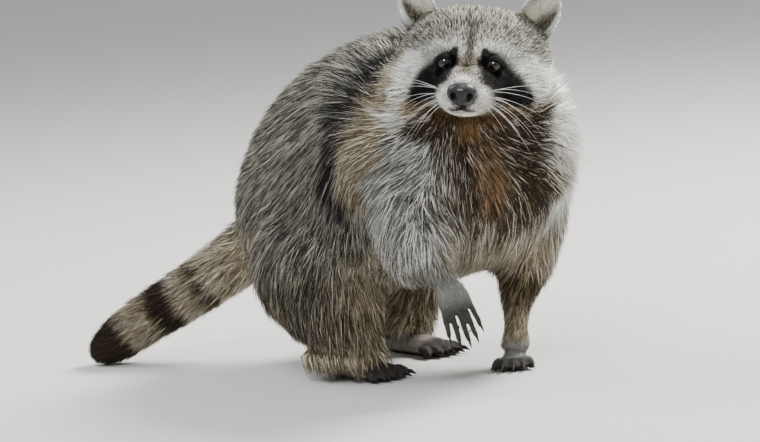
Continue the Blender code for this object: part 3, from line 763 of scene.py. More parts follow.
def paint_head(pelts, local):
    forward, aside, up = local[:, 0], np.abs(local[:, 1]), local[:, 2]
    face = np.stack([aside, up], 1)
    pelts = painted(pelts, "crown", ramp(up, -0.010, 0.015))
    for pelt, rows, soft, reach, strength in FACE_MARKS:
        pelts = painted(pelts, pelt, stroke(face, rows, soft) * ramp(forward, *reach) * strength)
    pelts = painted(pelts, "streak", stroke(face, STREAK, 0.6) * (0.85 - 0.5 * ramp(up, 0.022, 0.036)))
    muzzle = stroke(face, MUZZLE, 0.25) * ramp(forward, 0.004, 0.014)
    pelts = painted(pelts, "white", np.maximum(muzzle, stroke(face, CHIN) * ramp(forward, 0.010, 0.020)))
    return painted(pelts, "mouth", stroke(face, MOUTH, 0.6) * ramp(forward, 0.024, 0.034))


def paint_ears(pelts, places, normals, owners):
    for word, side in SIDES.items():
        mine = owners == f"ear_{word}"
        local = in_head(places[mine]) - ear_middle(word)
        lean = EAR_LEAN * side
        across = local[:, 1] * math.cos(lean) - local[:, 2] * math.sin(lean)
        along = local[:, 1] * math.sin(lean) + local[:, 2] * math.cos(lean)
        rim = ramp(np.hypot(across / EAR_SIZE[0], along / EAR_SIZE[1]), 0.72, 0.90)
        # Painted shade: where the inside of the ear's cup is darkened, towards its lower outer side
        cup_shade_mask = ramp(across * side - 0.6 * along, -0.002, 0.009)
        ahead = (normals[mine] @ HEAD_TURN)[:, 0]
        rows = painted(pelts[mine], "ear_back", np.ones(len(local)))
        rows = painted(rows, "ear_inside", ramp(ahead, -0.1, 0.2))
        rows = painted(rows, "ear_cup_painted_shade", ramp(ahead, 0.1, 0.5) * cup_shade_mask)
        pelts[mine] = painted(rows, "white", rim * ramp(along, -0.020, -0.002))
    return pelts


def pelts_at(places, normals, owners):
    """The marking at each place: four colours and the share of pale tips, as rows of thirteen."""
    pelts = np.repeat(pelt_row("flank")[None, :], len(places), 0)
    pelts = paint_body(pelts, places)
    pelts = paint_limbs(pelts, places, owners)
    tail = of_nodes(owners, "tail")
    gone = along_tail(places)
    start = 0.0
    for end, name in RINGS:
        band = ramp(gone, start - RING_BLUR, start + RING_BLUR) if start else np.ones(len(gone))
        pelts = painted(pelts, name, band * ramp(gone, end + RING_BLUR, end - RING_BLUR) * tail)
        start = end
    local = in_head(places)
    share = (of_nodes(owners, "head", "neck") * ramp(local[:, 0], -0.105, -0.070))[:, None]
    pelts = pelts * (1.0 - share) + paint_head(pelts, local) * share
    return paint_ears(pelts, places, normals, owners)


# ---------------------------------------------------------------- the skin


class Form:
    """The skin's own shape, finely meshed: what the coat grows on."""

    def __init__(self, mesh):
        self.places = read(mesh.vertices, "co", 3).astype(float)
        self.normals = read(mesh.vertex_normals, "vector", 3).astype(float)
        self.faces = read(mesh.polygons, "vertices", 4, np.int32)
        self.tree = BVHTree.FromPolygons(self.places.tolist(), self.faces.tolist())
        self.owners = owners_of(self.places)


FORM = {}


def cad_tree():
    """The flesh solids' surfaces as one search tree, and each triangle's node."""
    places, faces, names = [], [], []
    for node in FLESH:
        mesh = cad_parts[node].data
        first = len(places)
        places += [tuple(vert.co) for vert in mesh.vertices]
        faces += [[first + index for index in face.vertices] for face in mesh.polygons]
        names += [node] * len(mesh.polygons)
    return BVHTree.FromPolygons(places, faces), np.array(names)


def owners_of(places):
    """The node whose surface is nearest to each place."""
    tree, names = cad_tree()
    return names[[tree.find_nearest(place)[2] for place in places.tolist()]]


def joined_flesh():
    """The flesh solids as one mesh, each grown until the thin cuts between them close."""
    bm = bmesh.new()
    for node in FLESH:
        bm.from_mesh(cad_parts[node].data)
    bmesh.ops.remove_doubles(bm, verts=bm.verts, dist=1e-5)
    bm.normal_update()
    for vert in bm.verts:
        vert.co += vert.normal * GROW
    return linked("skin", bm)


def remeshed(piece, voxel):
    melt = piece.modifiers.new("melt", "REMESH")
    melt.mode, melt.voxel_size = "VOXEL", voxel
    return settle(piece)


def weigh(piece, name, weights):
    group = piece.vertex_groups.new(name=name)
    for index, weight in enumerate(weights.tolist()):
        group.add([index], weight, "REPLACE")
    return group.name


def spread(values, edges, rounds):
    """Evens a value out over neighbouring points."""
    first, second = edges.T
    count = np.bincount(first, minlength=len(values)) + np.bincount(second, minlength=len(values))
    for _ in range(rounds):
        total = np.bincount(first, values[second], len(values))
        total += np.bincount(second, values[first], len(values))
        values = (values + total / np.maximum(count, 1)) / 2
    return values


def sink(skin):
    """Rounds the facets off and sets the skin in from the tips of the coat, a little at a time."""
    places = read(skin.data.vertices, "co", 3).astype(float)
    edges = read(skin.data.edges, "vertices", 2, np.int32)
    depth = spread(lie(places, owners_of(places))[:, 3], edges, DEPTH_ROUNDS)
    deepest = float(depth.max())
    sunk = weigh(skin, "sunk", depth / deepest)
    loose = weigh(skin, "loose", np.clip((depth - FIRM_DEPTH) / LOOSENED_OVER, 0.0, 1.0))
    soften = skin.modifiers.new("round_off", "SMOOTH")
    soften.factor, soften.iterations, soften.vertex_group = 0.5, SOFTEN_ROUNDS, loose
    for step in range(INSET_STEPS):
        inward = skin.modifiers.new(f"inward_{step}", "DISPLACE")
        inward.strength, inward.mid_level, inward.vertex_group = -deepest / INSET_STEPS, 0.0, sunk
        even = skin.modifiers.new(f"even_{step}", "SMOOTH")
        even.factor, even.iterations, even.vertex_group = 0.5, INSET_ROUNDS, loose
    settle(skin)
    skin.vertex_groups.clear()


def drawn_back(places, seat, radius, depth):
    """Draws the skin back round what sits in it, looking along the seat's x axis."""
    turn = np.array(seat.to_3x3())
    local = (places - np.array(seat.translation)) @ turn
    away = np.linalg.norm(local[:, 1:], axis=1) / radius
    highest = radius * (depth + SOCKET_SLOPE * np.maximum(away - 1.0, 0.0))
    above = np.maximum(local[:, 0] - highest, 0.0) * (local[:, 0] < 4 * radius)
    return places - (above * (1.0 - ramp(away, *SOCKET_FADE)))[:, None] * turn[:, 0]


def slimmed(places, owners):
    """Draws the wrist of the standing forepaw in to its radius, round the line through its middle."""
    z = places[:, 2]
    wrist = of_nodes(owners, "forepaw_left", "forearm_left")
    ring = wrist & (z > WRIST_SPAN[0]) & (z < WRIST_SPAN[-1])
    middles = np.stack([np.polyval(np.polyfit(z[ring], places[ring, axis], 1), z) for axis in range(2)], 1)
    outward = places[:, :2] - middles
    radius = np.linalg.norm(outward, axis=1)
    share = wrist * ramp(z, *WRIST_SPAN[:2]) * (1.0 - ramp(z, *WRIST_SPAN[2:]))
    over = np.maximum(radius - WRIST_RADIUS, 0.0) * WRIST_DRAWN * share / np.maximum(radius, 1e-6)
    places[:, :2] -= outward * over[:, None]
    return places


def shape(skin):
    """Evens and fills out the raised fingers, slims the standing wrist, and opens the sockets of eyes and nose."""
    places = read(skin.data.vertices, "co", 3).astype(float)
    normals = read(skin.data.vertex_normals, "vector", 3).astype(float)
    edges = read(skin.data.edges, "vertices", 2, np.int32)
    owners = owners_of(places)
    hand = (of_nodes(owners, "forepaw_right") * (1.0 - ramp(places[:, 2], *HAND_FADE)))[:, None]
    even = np.stack([spread(places[:, axis], edges, HAND_ROUNDS) for axis in range(3)], 1)
    places += (even - places + normals * HAND_FULLER) * hand
    places = slimmed(places, owners)
    for side in SIDES.values():
        places = drawn_back(places, eye_frame(side, LID_OUT * side, LID_UP), EYE_RADIUS, EYE_SOCKET)
    places = drawn_back(places, HEAD @ Matrix.Translation(NOSE_LOCAL), NOSE_SIZE.y, NOSE_SOCKET)
    skin.data.vertices.foreach_set("co", places.astype(np.float32).ravel())
    skin.data.update()


def make_skin():
    """One skin for all solids of flesh, kept finely meshed for the coat and then lightened."""
    skin = remeshed(joined_flesh(), VOXEL)
    sink(skin)
    shape(skin)
    FORM["form"] = Form(skin.data)
    lighten = skin.modifiers.new("lighten", "DECIMATE")
    lighten.ratio = min(1.0, SKIN_TRIANGLES / (2 * len(skin.data.polygons)))
    settle(skin)
    skin.data.shade_smooth()
    places = read(skin.data.vertices, "co", 3).astype(float)
    normals = read(skin.data.vertex_normals, "vector", 3).astype(float)
    pelts = pelts_at(places, normals, owners_of(places))
    tone = skin.data.color_attributes.new("tone", "FLOAT_COLOR", "POINT")
    colours = np.ones((len(places), 4), np.float32)
    colours[:, :3] = pelts[:, 0:3] * UNDERFUR_SHARE + pelts[:, 3:6] * (1.0 - UNDERFUR_SHARE)
    tone.data.foreach_set("color", colours.ravel())
    dressed(skin, skin_material(), *FLESH, slot="coat")


# ---------------------------------------------------------------- the coat


def coat_of(owners, places):
    """The name of the coat piece that covers each place."""
    local = in_head(places)
    names = np.full(len(places), "coat_nape", dtype="<U24")
    head = of_nodes(owners, "head")
    names[head] = "coat_crown"
    names[head & (local[:, 0] > FACE_STARTS)] = "coat_face"
    for word, side in SIDES.items():
        beside = places[:, 1] * side > 0.0
        names[of_nodes(owners, "trunk_front") & beside] = f"coat_shoulder_{word}"
        names[of_nodes(owners, "trunk_rear") & beside] = f"coat_rump_{word}"
    for start, name in COAT_OVER.items():
        names[of_nodes(owners, start)] = name
    return names


def unwrapped(form, chosen):
    """An unwrap of the skin's own shape under one coat piece: a corner's place on the map, for each face."""
    used, corners = np.unique(form.faces[chosen], return_inverse=True)
    mesh = bpy.data.meshes.new("unwrap")
    mesh.from_pydata(form.places[used].tolist(), [], corners.reshape(-1, 4).tolist())
    piece = link("unwrap", mesh)
    bpy.ops.object.select_all(action="DESELECT")
    bpy.context.view_layer.objects.active = piece
    piece.select_set(True)
    bpy.ops.object.mode_set(mode="EDIT")
    bpy.ops.mesh.select_all(action="SELECT")
    bpy.ops.uv.smart_project(angle_limit=UNWRAP_ANGLE, island_margin=2 * PATCH)
    bpy.ops.object.mode_set(mode="OBJECT")
    places = read(mesh.uv_layers.active.data, "uv", 2).reshape(-1, 4, 2)
    bpy.data.objects.remove(piece)
    bpy.data.meshes.remove(mesh)
    return places


def growth(form, chosen, count, rng):
    """Roots spread evenly over the chosen faces: face, corner shares, place and normal."""
    faces = form.faces[chosen]
    a, b, c, d = (form.places[faces[:, i]] for i in range(4))
    area = np.linalg.norm(np.cross(c - a, d - b), axis=1) / 2
    local = in_head((a + c) / 2)
    thick = 1.0 + FACE_DENSER * ramp(local[:, 0], -0.030, 0.000) * head_share(local)
    odds = np.cumsum(area * thick)
    picks = (np.arange(count) + rng.random(count)) / count * odds[-1]
    order = np.clip(np.searchsorted(odds, picks), 0, len(faces) - 1)
    u, v = rng.random((2, count))
    shares = np.stack([(1 - u) * (1 - v), u * (1 - v), u * v, (1 - u) * v], 1)
    corners = faces[order]
    place = (form.places[corners] * shares[:, :, None]).sum(1)
    normal = unit((form.normals[corners] * shares[:, :, None]).sum(1))
    return order, shares, place, normal


def is_bare(local):
    """Where no tuft grows: the eyes' openings, the nose pad and the lips. Places are in the head's frame."""
    bare = np.zeros(len(local), bool)
    for side in SIDES.values():
        aside = (local[:, 1] - EYE_SPREAD * side + EYE_BARE_OUT * side) / EYE_BARE[0]
        up = (local[:, 2] + EYE_BARE_DOWN) / EYE_BARE[1]
        bare |= (np.abs(local[:, 0]) < EYE_RADIUS * 1.4) & (np.hypot(aside, up) < 1.0)
    bare |= np.linalg.norm((local - np.array(NOSE_LOCAL)) / NOSE_BARE, axis=1) < 1.0
    line = [(abs(place[1]), place[2], LIP_BARE) for place in LIP_LINE]
    face = np.stack([np.abs(local[:, 1]), local[:, 2]], 1)
    return bare | ((stroke(face, line, 0.01) > 0.5) & (local[:, 0] > 0.015))


def clumped(root, tips, told, rng):
    """Draws the tips of neighbouring tufts together into locks."""
    centres = rng.choice(len(root), max(1, len(root) // CLUMP_OF), replace=False)
    tree = KDTree(len(centres))
    for index, place in enumerate(root[centres].tolist()):
        tree.insert(place, index)
    tree.balance()
    mine = centres[[tree.find(place)[1] for place in root.tolist()]]
    pull = CLUMP_PULL * ramp(told[:, 4], *CLUMP_LENGTHS)[:, None] * rng.uniform(0.4, 1.0, (len(root), 1))
    return tips + (tips[mine] - tips) * pull


def tuft_paths(form, root, normal, told, rng):
    """Where each tuft rises from its root, and where its tip comes to lie over the skin."""
    count = len(root)
    way = told[:, :3] - normal * (told[:, :3] * normal).sum(1, keepdims=True)
    way = unit(way + rng.normal(0.0, ASTRAY, (count, 3)))
    way = unit(way - normal * (way * normal).sum(1, keepdims=True))
    long = told[:, 4] * rng.uniform(*TUFT_LENGTH, count) * settings().hair_length
    rise = told[:, 3] * told[:, 5] * rng.uniform(*TUFT_RISE, count) + LEAST_RISE
    rise[rng.random(count) < LOOSE_SHARE] *= LOOSE_RISE
    reached = root + way * np.sqrt(np.maximum(long**2 - rise**2, (0.5 * long) ** 2))[:, None]
    tips = np.empty_like(root)
    for index, place in enumerate(reached.tolist()):
        near, facing, _, _ = form.tree.find_nearest(place)
        tips[index] = near + facing * float(rise[index])
    tips = clumped(root, tips, told, rng)
    bend = root + way * (long * BEND_AT)[:, None] + normal * (rise * BEND_RISE)[:, None]
    side = np.cross(normal, way)
    bend += side * (long * rng.normal(0.0, BEND_ASIDE, count))[:, None]
    return root - normal * ROOT_DEPTH, bend, tips, side


def tuft_tones(pelts, rng):
    """Colours of each tuft at its root, middle and tip, the root darkened by a painted shade."""
    under, shaft, dark, pale = (pelts[:, first : first + 3] for first in (0, 3, 6, 9))
    tip = np.where((rng.random(len(pelts)) < pelts[:, 12])[:, None], pale, dark)
    lively = rng.normal(1.0, LIVELY, len(pelts)).clip(0.45, 1.7)[:, None]
    return under * ROOT_PAINTED_SHADE * lively, (shaft * 0.6 + tip * 0.4) * lively, tip * lively


def tuft_mesh(name, paths, tones, width, uv):
    """All tufts of a piece as one mesh: each is a closed three-sided lock, pointed at both ends."""
    sunk, bend, tips, side = paths
    count, share = len(sunk), WIDEST_AT
    centre = sunk * (1 - share) ** 2 + bend * 2 * share * (1 - share) + tips * share**2
    out = unit(np.cross(unit(tips - sunk), side))
    half = (width / 2)[:, None]
    lift = out * half * 2 * TUFT_THICKNESS
    places = np.stack([sunk, centre - side * half, centre + side * half, centre + lift, tips], 1)
    places[:, :, 2] = np.maximum(places[:, :, 2], LOWEST)
    under, shaft, tip = tones
    colours = np.ones((count, 5, 4), np.float32)
    colours[:, :, :3] = np.stack([under, shaft, shaft, shaft, tip], 1)
    first = 5 * np.arange(count)[:, None]
    mesh = bpy.data.meshes.new(name)
    mesh.vertices.add(count * 5)
    mesh.vertices.foreach_set("co", places.astype(np.float32).ravel())
    mesh.loops.add(count * TUFT_FACES.size)
    mesh.loops.foreach_set("vertex_index", (TUFT_FACES.ravel() + first).astype(np.int32).ravel())
    mesh.polygons.add(count * len(TUFT_FACES))
    mesh.polygons.foreach_set("loop_start", 3 * np.arange(count * len(TUFT_FACES), dtype=np.int32))
    mesh.polygons.foreach_set("use_smooth", np.ones(count * len(TUFT_FACES), bool))
    mesh.update()
    mesh.validate()
    layer = mesh.uv_layers.new(name="OFBake")
    patch = uv[:, None, :] + (TUFT_SPANS - 0.5) * PATCH
    layer.data.foreach_set("uv", patch.astype(np.float32).ravel())
    tone = mesh.color_attributes.new("tone", "FLOAT_COLOR", "POINT")
    tone.data.foreach_set("color", colours.ravel())
    return mesh


def make_coats():
    """Each coat piece, tuft by tuft: where it grows, how it lies, its colours and its width."""
    form = FORM["form"]
    covers = coat_of(form.owners, form.places)[form.faces[:, 0]]
    material = coat_material()
    share = settings().coat_density * 1.0
    for order, (name, (tufts, width, slot)) in enumerate(COATS.items()):
        rng = np.random.default_rng(SEED + order)
        chosen = np.flatnonzero(covers == name)
        map_places = unwrapped(form, chosen)
        faces, shares, root, normal = growth(form, chosen, int(tufts * share), rng)
        uv = (map_places[faces] * shares[:, :, None]).sum(1)
        keep = ~is_bare(in_head(root))
        root, normal, uv, faces = root[keep], normal[keep], uv[keep], faces[keep]
        owners = form.owners[form.faces[chosen][faces, 0]]
        told = lie(root, owners)
        paths = tuft_paths(form, root, normal, told, rng)
        seen = root + (paths[2] - root) * SEEN_AT
        tones = tuft_tones(pelts_at(seen, normal, owners), rng)
        slim = np.clip(told[:, 4] / SLIM_LENGTH, SLIMMEST, 1.0) ** 0.5
        wide = width / 1000 / share**0.5 * slim * rng.uniform(*TUFT_WIDTH, len(root))
        mesh = tuft_mesh(name, paths, tones, wide, uv)
        dressed(link(name, mesh), material, slot=slot)


# ---------------------------------------------------------------- the face


def eye_frame(side, outward, upward):
    """An eye's own frame: x looks out, y towards the animal's left, z up."""
    look = Matrix.Rotation(outward, 4, "Z") @ Matrix.Rotation(-upward, 4, "Y")
    return HEAD @ Matrix.Translation((0.0, EYE_SPREAD * side, 0.0)) @ look


def make_eyes():
    """Each eye is a ball with a bulging cornea in front."""
    for word, side in SIDES.items():
        bm = bmesh.new()
        bmesh.ops.create_uvsphere(bm, u_segments=48, v_segments=32, radius=1.0)
        gaze = bm.verts.layers.float.new("gaze")
        for vert in bm.verts:
            off = math.acos(max(-1.0, min(1.0, vert.co.z)))
            bulge = CORNEA_RISE * (1.0 - ramp(off, 0.0, CORNEA_ANGLE))
            vert[gaze] = off
            vert.co = vert.co * (EYE_RADIUS * (EYE_FIT + bulge))
        gazing = eye_frame(side, GAZE_LEFT - GAZE_IN * side, GAZE_UP)
        bmesh.ops.transform(bm, matrix=gazing @ Matrix.Rotation(math.pi / 2, 4, "Y"), verts=bm.verts)
        dressed(linked(f"eyeball_{word}", bm), eye_material(), f"eye_{word}", slot="eye")


def opening(turn):
    """The angle from the eye's axis to the edge of the lids, in the direction of that turn."""
    across, up = abs(math.cos(turn)) / OPEN_ACROSS, abs(math.sin(turn))
    up /= OPEN_UP if math.sin(turn) > 0 else OPEN_DOWN
    return 1.0 / (across**OPEN_SQUARE + up**OPEN_SQUARE) ** (1 / OPEN_SQUARE)


def make_lids():
    """Lids as a wall that hugs each eyeball round an almond-shaped opening."""
    bm = bmesh.new()
    for side in SIDES.values():
        shell = bmesh.new()
        rings = []
        for ring in range(LID_RINGS):
            share = ring / (LID_RINGS - 1)
            proud = LID_ROLL * math.sin(math.pi * min(1.0, share * 2.2)) * (1 - share)
            circle = bmesh.ops.create_circle(shell, segments=48, radius=1.0)["verts"]
            for index, vert in enumerate(circle):
                turn = 2 * math.pi * index / len(circle)
                off = opening(turn) + LID_SPAN * share
                aside, up = math.sin(off) * math.cos(turn), math.sin(off) * math.sin(turn)
                vert.co = Vector((math.cos(off), aside, up)) * (EYE_RADIUS + LID_RADIUS + proud)
            rings.append([edge for edge in shell.edges if all(vert in circle for vert in edge.verts)])
        for inner, outer in zip(rings[:-1], rings[1:]):
            bmesh.ops.bridge_loops(shell, edges=inner + outer)
        bmesh.ops.recalc_face_normals(shell, faces=shell.faces)
        bmesh.ops.solidify(shell, geom=shell.faces[:], thickness=-LID_THICK)
        facing = eye_frame(side, LID_OUT * side, LID_UP) @ Matrix.Rotation(LID_TILT * side, 4, "X")
        bmesh.ops.transform(shell, matrix=facing, verts=shell.verts)
        mesh = bpy.data.meshes.new("lid")
        shell.to_mesh(mesh)
        shell.free()
        bm.from_mesh(mesh)
        bpy.data.meshes.remove(mesh)
    dressed(linked("lids", bm), bare_material("lid_skin", settings().black, 0.75), slot="nose_skin")


def dent(vert, centre, reach, push):
    """Pushes a point in where it is near the centre."""
    share = (vert.co - centre).length / reach
    if share < 1.0:
        vert.co += push * (1.0 - share**2) ** 2


def make_nose():
    """The nose pad, with two nostrils, the slits beside them and a groove down the middle."""
    bm = bmesh.new()
    bmesh.ops.create_uvsphere(bm, u_segments=72, v_segments=48, radius=1.0)
    for vert in bm.verts:
        square = NOSE_SQUARE * abs(vert.co.y * vert.co.z) + NOSE_DEEP * abs(vert.co.x * vert.co.z)
        x, y, z = vert.co * (1.0 + square)
        narrow = 1.0 - NOSE_TAPER * max(0.0, -z)
        vert.co = Vector((x * NOSE_SIZE.x, y * NOSE_SIZE.y * narrow, z * NOSE_SIZE.z))
        groove = math.exp(-((vert.co.y / PHILTRUM_WIDTH) ** 2)) * max(0.0, min(1.0, 0.4 - z))
        vert.co.x -= PHILTRUM_DEPTH * groove
    for side in SIDES.values():
        flip = Vector((1.0, side, 1.0))
        for vert in bm.verts:
            dent(vert, NOSTRIL_AT * flip, NOSTRIL_REACH, Vector((-1.0, 0.25 * side, 0.1)) * NOSTRIL_DEPTH)
            dent(vert, SLIT_AT * flip, SLIT_REACH, Vector((-0.6, -1.0 * side, 0.2)) * SLIT_DEPTH)
    place = HEAD @ Matrix.Translation(NOSE_LOCAL)
    bmesh.ops.transform(bm, matrix=place, verts=bm.verts)
    dressed(linked("nose_pad", bm), nose_material(), "nose", slot="nose_skin")


def tube(bm, places, radii, sides):
    """A closed tapered tube along the places."""
    loops = []
    for index, place in enumerate(places):
        before, after = places[max(0, index - 1)], places[min(len(places) - 1, index + 1)]
        turn = (after - before).to_track_quat("Z", "X").to_matrix().to_4x4()
        matrix = Matrix.Translation(place) @ turn
        ring = bmesh.ops.create_circle(bm, segments=sides, radius=radii[index], matrix=matrix)
        loops.append(ring["verts"])
    for low, high in zip(loops[:-1], loops[1:]):
        around = set(edge for vert in (*low, *high) for edge in vert.link_edges)
        rims = [edge for edge in around if set(edge.verts) <= set(low) or set(edge.verts) <= set(high)]
        bmesh.ops.bridge_loops(bm, edges=rims)
    for end in (loops[0], loops[-1]):
        bmesh.ops.contextual_create(bm, geom=end)


def on_skin(local, above):
    """A place of the head's frame, brought to a height above the skin."""
    near, facing, _, _ = FORM["form"].tree.find_nearest(HEAD @ Vector(local))
    return near + facing * above


def smooth_line(points, steps):
    """A smooth line through the points."""
    padded = [points[0] * 2 - points[1], *points, points[-1] * 2 - points[-2]]
    line = []
    for index in range(len(points) - 1):
        before, start, end, after = padded[index : index + 4]
        slope = end - before
        curve = 2 * before - 5 * start + 4 * end - after
        sway = 3 * start - before - 3 * end + after
        for step in range(steps):
            t = step / steps
            line.append(0.5 * (2 * start + slope * t + curve * t**2 + sway * t**3))
    return [*line, points[-1]]


def make_lips():
    """The dark line of the closed mouth, and the short groove up to the nose."""
    bm = bmesh.new()
    half = [Vector(place) for place in LIP_LINE]
    whole = [Vector((place.x, -place.y, place.z)) for place in reversed(half[1:])] + half
    points = [on_skin(place, LIP_PROUD) for place in smooth_line(whole, 4)]
    shares = [0.04 + 0.92 * index / (len(points) - 1) for index in range(len(points))]
    radii = [LIP_RADIUS * (0.35 + 0.65 * math.sin(math.pi * share)) for share in shares]
    tube(bm, points, radii, LIP_SIDES)
    groove = [on_skin(place, GROOVE_PROUD) for place in LIP_GROOVE]
    tube(bm, groove, [GROOVE_RADIUS] * len(groove), GROOVE_SIDES)
    dressed(linked("lips", bm), bare_material("lip_skin", settings().lip, 0.50), slot="nose_skin")


def whisker(bm, root, way, length, droop, radius):
    """One whisker: stiff at its root, bending back and down to a fine tip."""
    points, radii = [], []
    start = on_skin(root, -0.001)
    turn = HEAD.to_3x3()
    for step in range(WHISKER_STEPS + 1):
        share = step / WHISKER_STEPS
        local = way * (length * share) + Vector((-0.35, 0.0, -droop)) * (length * share**2 * 0.55)
        points.append(start + turn @ local)
        radii.append(radius * (1.0 - 0.85 * share**1.5))
    tube(bm, points, radii, WHISKER_SIDES)


def make_whiskers():
    """Long white whiskers from the muzzle, and a few over the eyes."""
    rng = np.random.default_rng(WHISKER_SEED)
    bm = bmesh.new()
    for side in SIDES.values():
        for row in range(WHISKER_ROWS):
            for index in range(WHISKERS_A_ROW):
                forward = 0.040 - 0.0065 * index - 0.0015 * row
                root = Vector((forward, side * (0.0155 + 0.0022 * index), -0.0185 - 0.0036 * row))
                astray = Vector(rng.normal(0.0, 0.10, 3).tolist())
                way = Vector((-0.22 - 0.30 * (index / 2), side * 0.95, 0.14 - 0.24 * row)) + astray
                length = 0.040 + 0.008 * index - 0.003 * row + float(rng.uniform(-0.010, 0.004))
                droop = 0.45 + 0.15 * row + float(rng.uniform(-0.15, 0.15))
                whisker(bm, root, way.normalized(), length, droop, WHISKER_RADIUS)
        for index in range(BROW_WHISKERS):
            root = Vector((0.004 - 0.003 * index, side * (0.0155 + 0.003 * index), 0.0125))
            way = Vector((0.55, side * (0.35 + 0.2 * index), 0.75))
            whisker(bm, root, way.normalized(), 0.026, 0.5, WHISKER_RADIUS * 0.6)
    dressed(linked("whiskers", bm), whisker_material(), slot="face_coat")


def make_claws():
    """The claws keep their solids and get a horn finish."""
    material = horn_material()
    for node in CLAWS:
        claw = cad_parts[node]
        claw.data.materials.clear()
        claw.data.materials.append(material)


# ---------------------------------------------------------------- materials


def group_of(name, inputs, outputs):
    """An empty node group with named inputs and outputs."""
    tree = bpy.data.node_groups.new(name, "ShaderNodeTree")
    for label, kind, default in inputs:
        tree.interface.new_socket(label, in_out="INPUT", socket_type=kind).default_value = default
    for label, kind in outputs:
        tree.interface.new_socket(label, in_out="OUTPUT", socket_type=kind)
    return tree, tree.nodes.new("NodeGroupInput"), tree.nodes.new("NodeGroupOutput")


def hair_variation():
    """Makes patches of a colour lighter and darker, and tells the same patches as a height."""
    if "Hair variation" in bpy.data.node_groups:
        return bpy.data.node_groups["Hair variation"]
    inputs = (
        ("Color", "NodeSocketColor", (0.2, 0.2, 0.2, 1.0)),
        ("Clumps", "NodeSocketFloat", 140.0),
        ("Amount", "NodeSocketFloat", 0.25),
    )
    outputs = (("Color", "NodeSocketColor"), ("Height", "NodeSocketFloat"))
    tree, given, told = group_of("Hair variation", inputs, outputs)
    nodes, links = tree.nodes, tree.links
    where = nodes.new("ShaderNodeTexCoord")
    clumps = nodes.new("ShaderNodeTexNoise")
    clumps.inputs["Detail"].default_value = 3.0
    links.new(where.outputs["Object"], clumps.inputs["Vector"])
    links.new(given.outputs["Clumps"], clumps.inputs["Scale"])
    lighter = nodes.new("ShaderNodeMapRange")
    for label, value in (("From Min", 0.3), ("From Max", 0.7), ("To Min", 0.55), ("To Max", 1.35)):
        lighter.inputs[label].default_value = value
    links.new(clumps.outputs["Fac"], lighter.inputs["Value"])
    shade = nodes.new("ShaderNodeVectorMath")
    shade.operation = "SCALE"
    links.new(given.outputs["Color"], shade.inputs[0])
    links.new(lighter.outputs["Result"], shade.inputs["Scale"])
    mix = nodes.new("ShaderNodeMix")
    mix.data_type = "RGBA"
    links.new(given.outputs["Amount"], mix.inputs["Factor"])
    links.new(given.outputs["Color"], mix.inputs["A"])
    links.new(shade.outputs["Vector"], mix.inputs["B"])
    links.new(mix.outputs["Result"], told.inputs["Color"])
    links.new(clumps.outputs["Fac"], told.inputs["Height"])
    return tree


def grain():
    """Fine pebbles or pores as a height from 0 to 1."""
    if "Grain" in bpy.data.node_groups:
        return bpy.data.node_groups["Grain"]
    inputs = (("Scale", "NodeSocketFloat", 900.0),)
    tree, given, told = group_of("Grain", inputs, (("Height", "NodeSocketFloat"),))
    nodes, links = tree.nodes, tree.links
    where = nodes.new("ShaderNodeTexCoord")
    cells = nodes.new("ShaderNodeTexVoronoi")
    cells.feature = "DISTANCE_TO_EDGE"
    links.new(where.outputs["Object"], cells.inputs["Vector"])
    links.new(given.outputs["Scale"], cells.inputs["Scale"])
    lift = nodes.new("ShaderNodeMapRange")
    lift.inputs["From Max"].default_value = 0.25
    links.new(cells.outputs["Distance"], lift.inputs["Value"])
    links.new(lift.outputs["Result"], told.inputs["Height"])
    return tree


def material_of(name, roughness, **values):
    """A new material with some of its shader's inputs set; spaces in their names are given as underscores."""
    material = bpy.data.materials.new(name)
    material.use_nodes = True
    shader = material.node_tree.nodes["Principled BSDF"]
    shader.inputs["Roughness"].default_value = roughness
    for label, value in values.items():
        shader.inputs[label.replace("_", " ")].default_value = value
    return material, shader, material.node_tree.nodes, material.node_tree.links


def placed(nodes, tree, **values):
    """A node group in a material, with some of its inputs set."""
    node = nodes.new("ShaderNodeGroup")
    node.node_tree = tree
    for label, value in values.items():
        node.inputs[label].default_value = value
    return node


def carried(nodes, name):
    """What a piece's points carry under this name."""
    told = nodes.new("ShaderNodeAttribute")
    told.attribute_name = name
    return told.outputs


def bumped(nodes, links, shader, height, distance, strength=1.0):
    bump = nodes.new("ShaderNodeBump")
    bump.inputs["Distance"].default_value = distance
    bump.inputs["Strength"].default_value = strength
    links.new(height, bump.inputs["Height"])
    links.new(bump.outputs["Normal"], shader.inputs["Normal"])


def varied(nodes, links, shader, colour, clumps, amount):
    """The shader's colour, varied from clump to clump: a colour of its own, or another node's output."""
    vary = placed(nodes, hair_variation(), Clumps=clumps, Amount=amount)
    if isinstance(colour, bpy.types.NodeSocket):
        links.new(colour, vary.inputs["Color"])
    else:
        vary.inputs["Color"].default_value = (*colour, 1.0)
    links.new(vary.outputs["Color"], shader.inputs["Base Color"])
    return vary


def skin_material():
    """Marked skin and underfur, with the fine relief of short flat hair."""
    material, shader, nodes, links = material_of("skin", 0.75)
    varied(nodes, links, shader, carried(nodes, "tone")["Color"], 220.0, 0.45)
    pores = placed(nodes, grain(), Scale=1100.0)
    bumped(nodes, links, shader, pores.outputs["Height"], 0.0003, 0.6)
    return material


def coat_material():
    """Hair: marked colours and a faint gloss."""
    material, shader, nodes, links = material_of("coat", 0.62, Specular_IOR_Level=0.06)
    varied(nodes, links, shader, carried(nodes, "tone")["Color"], 70.0, 0.50)
    return material


def bare_material(name, colour, roughness):
    """Bare dark skin, finely grained."""
    material, shader, nodes, links = material_of(name, roughness, Specular_IOR_Level=0.08)
    varied(nodes, links, shader, colour, 500.0, 0.5)
    pores = placed(nodes, grain(), Scale=1500.0)
    bumped(nodes, links, shader, pores.outputs["Height"], 0.00005)
    return material


